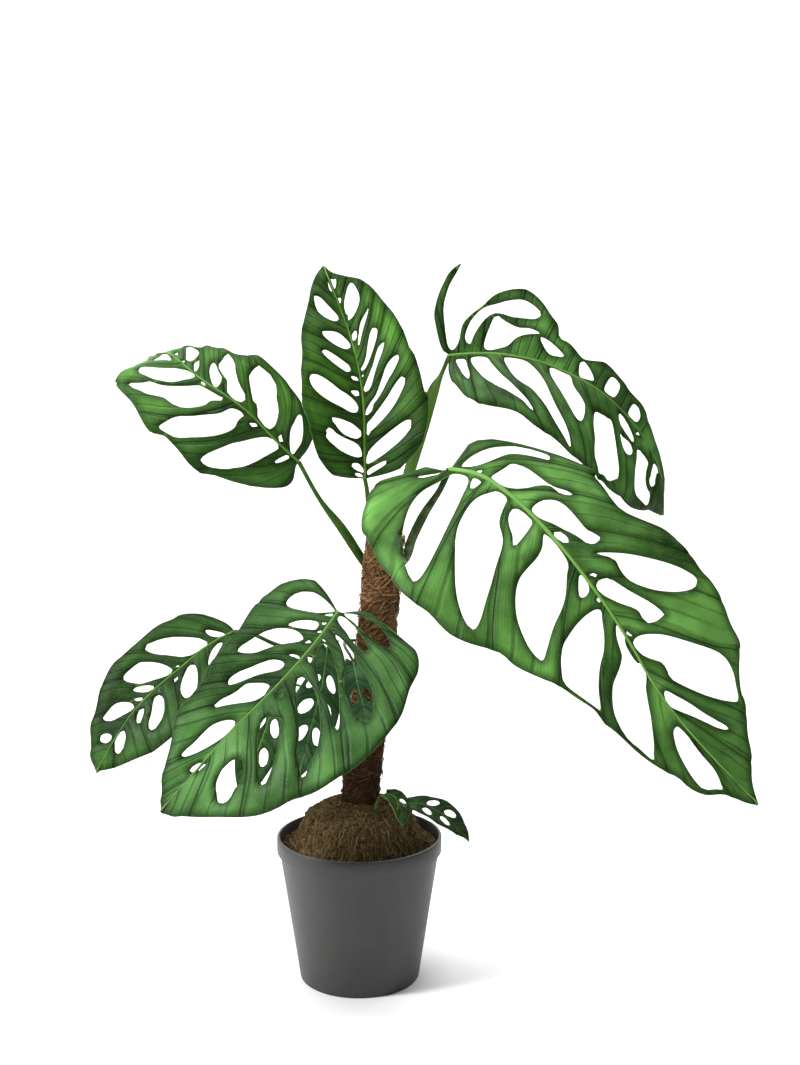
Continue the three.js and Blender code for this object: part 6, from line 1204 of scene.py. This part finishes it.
class MonsteraLeaves(bpy.types.Operator):
    """Blades, midribs and petioles of every leaf"""

    bl_idname = "monstera.leaves"
    bl_label = "Leaves"

    def execute(self, context):
        s = context.scene.monstera_leaves
        vein, under_green = tuple(s.vein), tuple(s.under)
        under = under_side("leaf_under", darker(under_green, 0.75), under_green, vein)
        pale, dull = mix_colours(vein, under_green, 0.4), mix_colours(vein, under_green, 0.8)
        rim = stalk_surface("leaf_rim", pale, dull)
        for name, leaf in LEAVES.items():
            dark, light, green = (srgb(*tone) for tone in GREENS[name])
            upper = upper_side(name + "_upper", dark, light, mix_colours(vein, light, 0.5))
            stalk = stalk_surface(
                name + "_stalk", mix_colours(green, s.stalk, 0.2), mix_colours(green, dark, 0.6))
            midrib = stalk_surface(
                name + "_midrib", mix_colours(light, vein, 0.35), mix_colours(light, dark, 0.35))
            blade(name, leaf, [upper, under, rim], s.net / MM, s.thickness)
            petiole(name, leaf, [stalk, midrib])
        return {"FINISHED"}


class MonsteraPole(bpy.types.Operator):
    """Coir pole with its loose fibres, and the stake inside it"""

    bl_idname = "monstera.pole"
    bl_label = "Coir pole"

    def execute(self, context):
        s = context.scene.monstera_pole
        chance = random.Random(11)
        coir = fibrous("coir", tuple(s.light), tuple(s.dark), low_darkening=0.75)
        self.core(coir)
        courses = [self.wrapping(s, chance) for _ in range(s.fibres)]
        courses += [self.end_tuft(chance) for _ in range(260)]
        new_object("coir_fibres", strands(courses), [coir], ["pole_coir"])
        wood = fibrous("stake_wood", srgb(176, 138, 92), srgb(120, 88, 56), 120.0)
        stake = bpy.data.objects["pole_stake"]
        stake.data.materials.clear()
        stake.data.materials.append(wood)
        return {"FINISHED"}

    def core(self, coir):
        """Lumpy sleeve with a rounded top edge."""
        bm = bmesh.new()
        rings = 90
        low, high = POLE_FOOT.z, POLE_TOP.z
        heights = [low + (high - 3 - low) * k / rings for k in range(rings + 1)] + [high - 1, high, high]
        radii = [POLE_RADIUS - 1.5] * (rings + 1) + [POLE_RADIUS - 4, POLE_RADIUS - 8, 2]
        course = [pole_axis(z) for z in heights]
        rounds = sweep(bm, course, [(r, r) for r in radii], 48, len(heights) - 1, (1, 0, 0))
        for ring in rounds:
            for vert in ring:
                here = vert.co / MM
                axis = pole_axis(here.z)
                out = Vector((here.x - axis.x, here.y - axis.y, 0))
                lump = noise.noise(here / 22) * 1.3 + noise.noise(here / 7 + axis) * 0.8
                vert.co = (here + out.normalized() * (lump if out.length > 6 else 0)) * MM
        bmesh.ops.recalc_face_normals(bm, faces=bm.faces)
        new_object("coir_core", bm, [coir], ["pole_coir"])

    def wrapping(self, s, chance):
        """Course of a fibre that wraps part of the pole."""
        low, high = POLE_FOOT.z + 40, POLE_TOP.z
        z = low + (high - low) * chance.random() ** 0.9
        turn = chance.uniform(0, FULL_TURN)
        wrap = chance.choice((-1, 1)) * chance.uniform(0.15, 1.1)
        climb = chance.gauss(0, 9) + wrap * 6
        out = POLE_RADIUS - 1.2 + chance.random() ** 3 * s.fuzz / MM
        points = []
        for k in range(5):
            f = k / 4
            lift = math.sin(f * math.pi) * chance.uniform(-0.3, 1.2) + (f - 0.5) * chance.uniform(-0.6, 0.8)
            lift += noise.noise(Vector((turn, z / 30, 0)))
            height = min(z + climb * f, high + chance.uniform(-1, 3.5))
            points.append(beside_pole(height, turn + wrap * f, out + lift))
        return points, 0.2 + 0.6 * chance.random() ** 2.5, chance.random() ** 1.6

    def end_tuft(self, chance):
        """Course of a fibre that stands up from the pole's cut end."""
        high = POLE_TOP.z
        turn, reach = in_circle(chance, POLE_RADIUS)
        foot = beside_pole(high - 2, turn, reach)
        rise, twist, spread = chance.uniform(1, 6), chance.gauss(0, 0.5), chance.gauss(0, 2.5)
        tip = beside_pole(high + rise, turn + twist, reach + spread)
        middle = (foot + tip) / 2 + Vector((chance.gauss(0, 1.5), chance.gauss(0, 1.5), 1))
        points = [foot, (foot + middle) / 2, middle, (middle + tip) / 2, tip]
        return points, chance.uniform(0.18, 0.4), chance.random()


class MonsteraStem(bpy.types.Operator):
    """Climbing stem with its rings and roots"""

    bl_idname = "monstera.stem"
    bl_label = "Stem"

    def execute(self, context):
        s = context.scene.monstera_pole
        chance = random.Random(5)
        fresh = mix_colours(s.stem, (0.3, 0.35, 0.12), 0.3)
        bark = stalk_surface("stem", fresh, mix_colours(s.stem, (0.02, 0.015, 0.01), 0.5))
        bm = bmesh.new()
        rings, joints = 150, 9
        rounds = sweep(bm, STEM, [(STEM_RADIUS, STEM_RADIUS)] * 2, 28, rings, (1, 0, 0))
        for r, ring in enumerate(rounds):
            centre = sum((v.co for v in ring), Vector()) / len(ring)
            band = abs((r / rings * joints) % 1 - 0.5)
            swell = 0.97 + 0.03 * noise.noise(Vector((r / 5, 0, 0)))
            swell -= 0.1 * math.exp(-((band - 0.5) / 0.05) ** 2)
            for vert in ring:
                vert.co = centre + (vert.co - centre) * swell
        bmesh.ops.recalc_face_normals(bm, faces=bm.faces)
        new_object("stem_body", bm, [bark], ["stem"])
        courses = []
        foot, top = STEM[0][2], STEM[-1][2]
        for _ in range(36):
            z = chance.uniform(150, 430)
            root = Vector(spline(STEM, (z - foot) / (top - foot) * (len(STEM) - 1)))
            turn = math.pi / 2 + chance.choice((-1, 1)) * 0.35
            step = chance.choice((-1, 1)) * chance.uniform(0.5, 1.4)
            points = [root]
            for k in range(1, 5):
                height = root.z + k * chance.uniform(-5, 2)
                points.append(beside_pole(height, turn + step * k / 4, POLE_RADIUS + 0.6))
            courses.append((points, chance.uniform(0.7, 1.3), chance.random()))
        root_skin = fibrous("root_skin", srgb(122, 92, 62), srgb(66, 46, 30), 200.0)
        new_object("stem_roots", strands(courses, 6, 8), [root_skin], ["stem"])
        return {"FINISHED"}


class MonsteraSoil(bpy.types.Operator):
    """Mounded root ball with crumbs, bark, moss and fine roots"""

    bl_idname = "monstera.soil"
    bl_label = "Root ball"

    def execute(self, context):
        s = context.scene.monstera_soil
        chance = random.Random(7)
        soil = earthy("soil", tuple(s.light), tuple(s.dark))
        self.mound(soil)
        places = [self.crumb(chance) for _ in range(s.crumbs)]
        new_object("soil_crumbs", grains(places), [soil], ["soil"], smooth=False)
        threads = fibrous("soil_threads", srgb(150, 128, 88), srgb(66, 58, 32), 60.0)
        courses = [self.thread(chance) for _ in range(s.moss)]
        new_object("soil_threads", strands(courses), [threads], ["soil"])
        return {"FINISHED"}

    def mound(self, soil):
        """Rough top of the root ball, closed below by a narrower foot."""
        edge, shoulder, top = MOUND[0][0], MOUND[1][0], MOUND[-1][1]
        bm = bmesh.new()
        bmesh.ops.create_grid(bm, x_segments=150, y_segments=150, size=edge * MM)
        outside = [f for f in bm.faces if f.calc_center_median().length > (edge - 4.5) * MM]
        bmesh.ops.delete(bm, geom=outside, context="FACES")
        border = [e for e in bm.edges if e.is_boundary]
        for vert in bm.verts:
            here = vert.co / MM
            radius = here.length
            z = mound_height(radius)
            if radius < shoulder + 1:
                z += 3.2 * noise.fractal(Vector((here.x / 16, here.y / 16, 3)), 0.9, 2.1, 5)
            z += 1.2 * noise.noise(Vector((here.x / 4, here.y / 4, 9)))
            vert.co.z = min(z, top) * MM
        for vert in fresh_verts(bmesh.ops.extrude_edge_only(bm, edges=border)):
            vert.co = Vector((vert.co.x * 0.7, vert.co.y * 0.7, 3 * MM))
        bmesh.ops.holes_fill(bm, edges=[e for e in bm.edges if e.is_boundary])
        bmesh.ops.recalc_face_normals(bm, faces=bm.faces)
        new_object("soil_mound", bm, [soil], ["soil"])

    def crumb(self, chance):
        """Place, half sizes and turn of a crumb of peat or bark."""
        turn, radius = in_circle(chance, CRUMB_REACH)
        size = 0.8 + 3.4 * chance.random() ** 3
        sizes = [size * chance.uniform(0.5, 1.2) for _ in range(3)]
        angle = chance.uniform(0, 6.3)
        axis = Vector((chance.gauss(0, 1), chance.gauss(0, 1), 1)).normalized()
        return around(turn, radius, mound_height(radius) - size * 0.2), sizes, Matrix.Rotation(angle, 3, axis)

    def thread(self, chance):
        """Course of a moss thread or a fine root over the mound."""
        turn, radius = in_circle(chance, THREAD_REACH)
        foot = around(turn, radius, mound_height(radius) - 0.5)
        run = Vector((chance.gauss(0, 5), chance.gauss(0, 5), chance.uniform(-1, 3)))
        points = []
        for k in range(5):
            here = foot + run * (k / 4) + Vector((chance.gauss(0, 0.6), chance.gauss(0, 0.6), 0))
            loose = 0.6 + 2.2 * chance.random() * math.sin(k / 4 * math.pi)
            here.z = mound_height(math.hypot(here.x, here.y)) + loose
            points.append(here)
        return points, chance.uniform(0.2, 0.5), chance.random()


class MonsteraPot(bpy.types.Operator):
    """Nursery pot, spun from its profile, with its drained floor"""

    bl_idname = "monstera.pot"
    bl_label = "Pot"

    def execute(self, context):
        s = context.scene.monstera_pot
        plastic = moulded("pot_plastic", tuple(s.tone))
        wall = self.wall(s.sides)
        floor = self.floor(s.sides)
        pot = new_object("pot_wall", wall, [plastic], ["pot"])
        pot.data.set_sharp_from_angle(angle=math.radians(40))
        new_object("pot_floor", floor, [plastic], ["pot"], smooth=False)
        return {"FINISHED"}

    def wall(self, sides):
        """Tapered wall and its rim, from underside to rim and back down inside."""
        rim, top, foot, lip = POT_HEIGHT - RIM_HEIGHT, POT_HEIGHT, POT_FOOT_RADIUS, POT_TOP_RADIUS
        wall = lip - RIM_OVERHANG
        inner = foot - 4
        profile = [
            (inner, 0), (foot - 1.5, 0), (foot - 0.4, 0.4), (foot, 1.5), (wall, rim - 1), (wall + 0.4, rim),
            (lip - 0.5, rim), (lip, rim + 0.6), (lip, top - 1.4), (lip - 0.5, top - 0.3), (lip - 1.4, top),
            (lip - POT_WALL - 0.6, top), (lip - POT_WALL - 1.2, top - 1), (lip - POT_WALL - 1.5, rim + 2),
            (wall - POT_WALL, rim - 2), (foot - POT_WALL, POT_FLOOR), (inner, POT_FLOOR),
        ]
        bm = bmesh.new()
        verts = [bm.verts.new((r * MM, 0, z * MM)) for r, z in profile]
        edges = [bm.edges.new(pair) for pair in zip(verts, verts[1:] + verts[:1])]
        bmesh.ops.spin(bm, geom=verts + edges, axis=(0, 0, 1), cent=(0, 0, 0), angle=FULL_TURN, steps=sides,
                       use_merge=True)
        bmesh.ops.recalc_face_normals(bm, faces=bm.faces)
        return bm

    def floor(self, sides):
        """Floor with its ring of drain holes."""
        bm = bmesh.new()
        rings = [(Vector(), POT_FOOT_RADIUS - 2.5, sides)]
        for k in range(DRAIN_HOLES):
            rings.append((around(FULL_TURN * (k + 0.5) / DRAIN_HOLES, DRAIN_CIRCLE), DRAIN_HOLE_RADIUS, 32))
        for centre, radius, steps in rings:
            placed = Matrix.Translation(centre * MM)
            bmesh.ops.create_circle(bm, segments=steps, radius=radius * MM, matrix=placed)
        bmesh.ops.triangle_fill(bm, use_beauty=True, edges=bm.edges, normal=(0, 0, 1))
        raised = fresh_verts(bmesh.ops.extrude_face_region(bm, geom=bm.faces[:]))
        bmesh.ops.translate(bm, vec=(0, 0, POT_FLOOR * MM), verts=raised)
        bmesh.ops.recalc_face_normals(bm, faces=bm.faces)
        return bm


class MonsteraStage(bpy.types.Operator):
    """Pale floor rising into a backdrop, soft lights and the camera"""

    bl_idname = "monstera.stage"
    bl_label = "Stage"

    def execute(self, context):
        s = context.scene.monstera_stage
        scene = context.scene
        white = Nodes("floor_white").out(Base_Color=(*s.floor, 1), Roughness=0.9, Specular_IOR_Level=0.1)
        floor = plain_object("floor", self.backdrop(), [white])
        world = bpy.data.worlds.new("soft_white")
        world.use_nodes = True
        sky = world.node_tree.nodes["Background"].inputs
        sky[0].default_value = (1, 1, 1, 1)
        sky[1].default_value = s.world
        scene.world = world
        plant, wall = (0.04, 0, 0.42), (0, 2.6, 0.9)
        self.lamp(scene, "key", (-1.9, -0.8, 1.4), plant, s.key, (0.6,))
        self.lamp(scene, "fill", (1.4, -1.6, 0.9), plant, s.key * 0.06, (1.6,))
        self.lamp(scene, "top", (0.1, -0.2, 2.3), plant, s.key * 0.35, (1.2,))
        self.lamp(scene, "wash", (0, 0.9, 2.9), wall, s.key * 1.5, (4.0, 0.6))
        scene.view_settings.view_transform = "Standard"
        lens = bpy.data.cameras.new("camera")
        lens.lens = CAMERA_LENS
        lens.sensor_width = SENSOR_WIDTH
        lens.clip_start, lens.clip_end = 0.05, 50
        camera = bpy.data.objects.new("camera", lens)
        camera.location = Vector(CAMERA_PLACE) * MM
        camera.rotation_euler = (math.radians(90 - CAMERA_PITCH), 0, 0)
        scene.collection.objects.link(camera)
        scene.camera = camera
        return {"FINISHED"}

    def backdrop(self):
        """Floor that bends up into a wall, in metres."""
        start, bend, radius, height, width = 4.5, 1.2, 1.5, 5, 10
        turns = [math.pi / 2 * k / 16 for k in range(1, 17)]
        curve = [(bend + radius * math.sin(a), radius - radius * math.cos(a)) for a in turns]
        profile = [(-start, 0), (bend, 0), *curve, (bend + radius, height)]
        bm = bmesh.new()
        verts = [bm.verts.new((-width / 2, y, z)) for y, z in profile]
        edges = [bm.edges.new(pair) for pair in zip(verts, verts[1:])]
        made = fresh_verts(bmesh.ops.extrude_edge_only(bm, edges=edges))
        bmesh.ops.translate(bm, vec=(width, 0, 0), verts=made)
        bmesh.ops.recalc_face_normals(bm, faces=bm.faces)
        return bm

    def lamp(self, scene, name, place, target, energy, size):
        """Area light: a disk from one size, a rectangle from two."""
        light = bpy.data.lights.new(name, "AREA")
        light.shape = "DISK" if len(size) == 1 else "RECTANGLE"
        light.size, light.size_y = size[0], size[-1]
        light.energy = energy
        lamp = bpy.data.objects.new(name, light)
        lamp.location = place
        lamp.rotation_euler = (Vector(target) - Vector(place)).to_track_quat("-Z", "Y").to_euler()
        scene.collection.objects.link(lamp)


PIECES = (MonsteraPot, MonsteraSoil, MonsteraPole, MonsteraStem, MonsteraLeaves, MonsteraStage)
SETTINGS = {
    "monstera_leaves": MonsteraLeafSettings,
    "monstera_pole": MonsteraPoleSettings,
    "monstera_soil": MonsteraSoilSettings,
    "monstera_pot": MonsteraPotSettings,
    "monstera_stage": MonsteraStageSettings,
}


class MonsteraPanel(bpy.types.Panel):
    """Lists the pieces and their settings"""

    bl_idname = "VIEW3D_PT_monstera"
    bl_label = "Monstera"
    bl_space_type = "VIEW_3D"
    bl_region_type = "UI"
    bl_category = "Monstera"

    def draw(self, context):
        for piece in PIECES:
            self.layout.operator(piece.bl_idname)
        for key, group in SETTINGS.items():
            box = self.layout.box()
            for field in group.__annotations__:
                box.prop(getattr(context.scene, key), field)


def register():
    for group in (*SETTINGS.values(), *PIECES, MonsteraPanel):
        bpy.utils.register_class(group)
    for key, group in SETTINGS.items():
        setattr(bpy.types.Scene, key, bpy.props.PointerProperty(type=group))


def unregister():
    for key in SETTINGS:
        delattr(bpy.types.Scene, key)
    for group in reversed((*SETTINGS.values(), *PIECES, MonsteraPanel)):
        bpy.utils.unregister_class(group)


def main():
    register()
    bpy.ops.monstera.pot()
    bpy.ops.monstera.soil()
    bpy.ops.monstera.pole()
    bpy.ops.monstera.stem()
    bpy.ops.monstera.leaves()
    bpy.ops.monstera.stage()


if __name__ == "__main__":
    main()
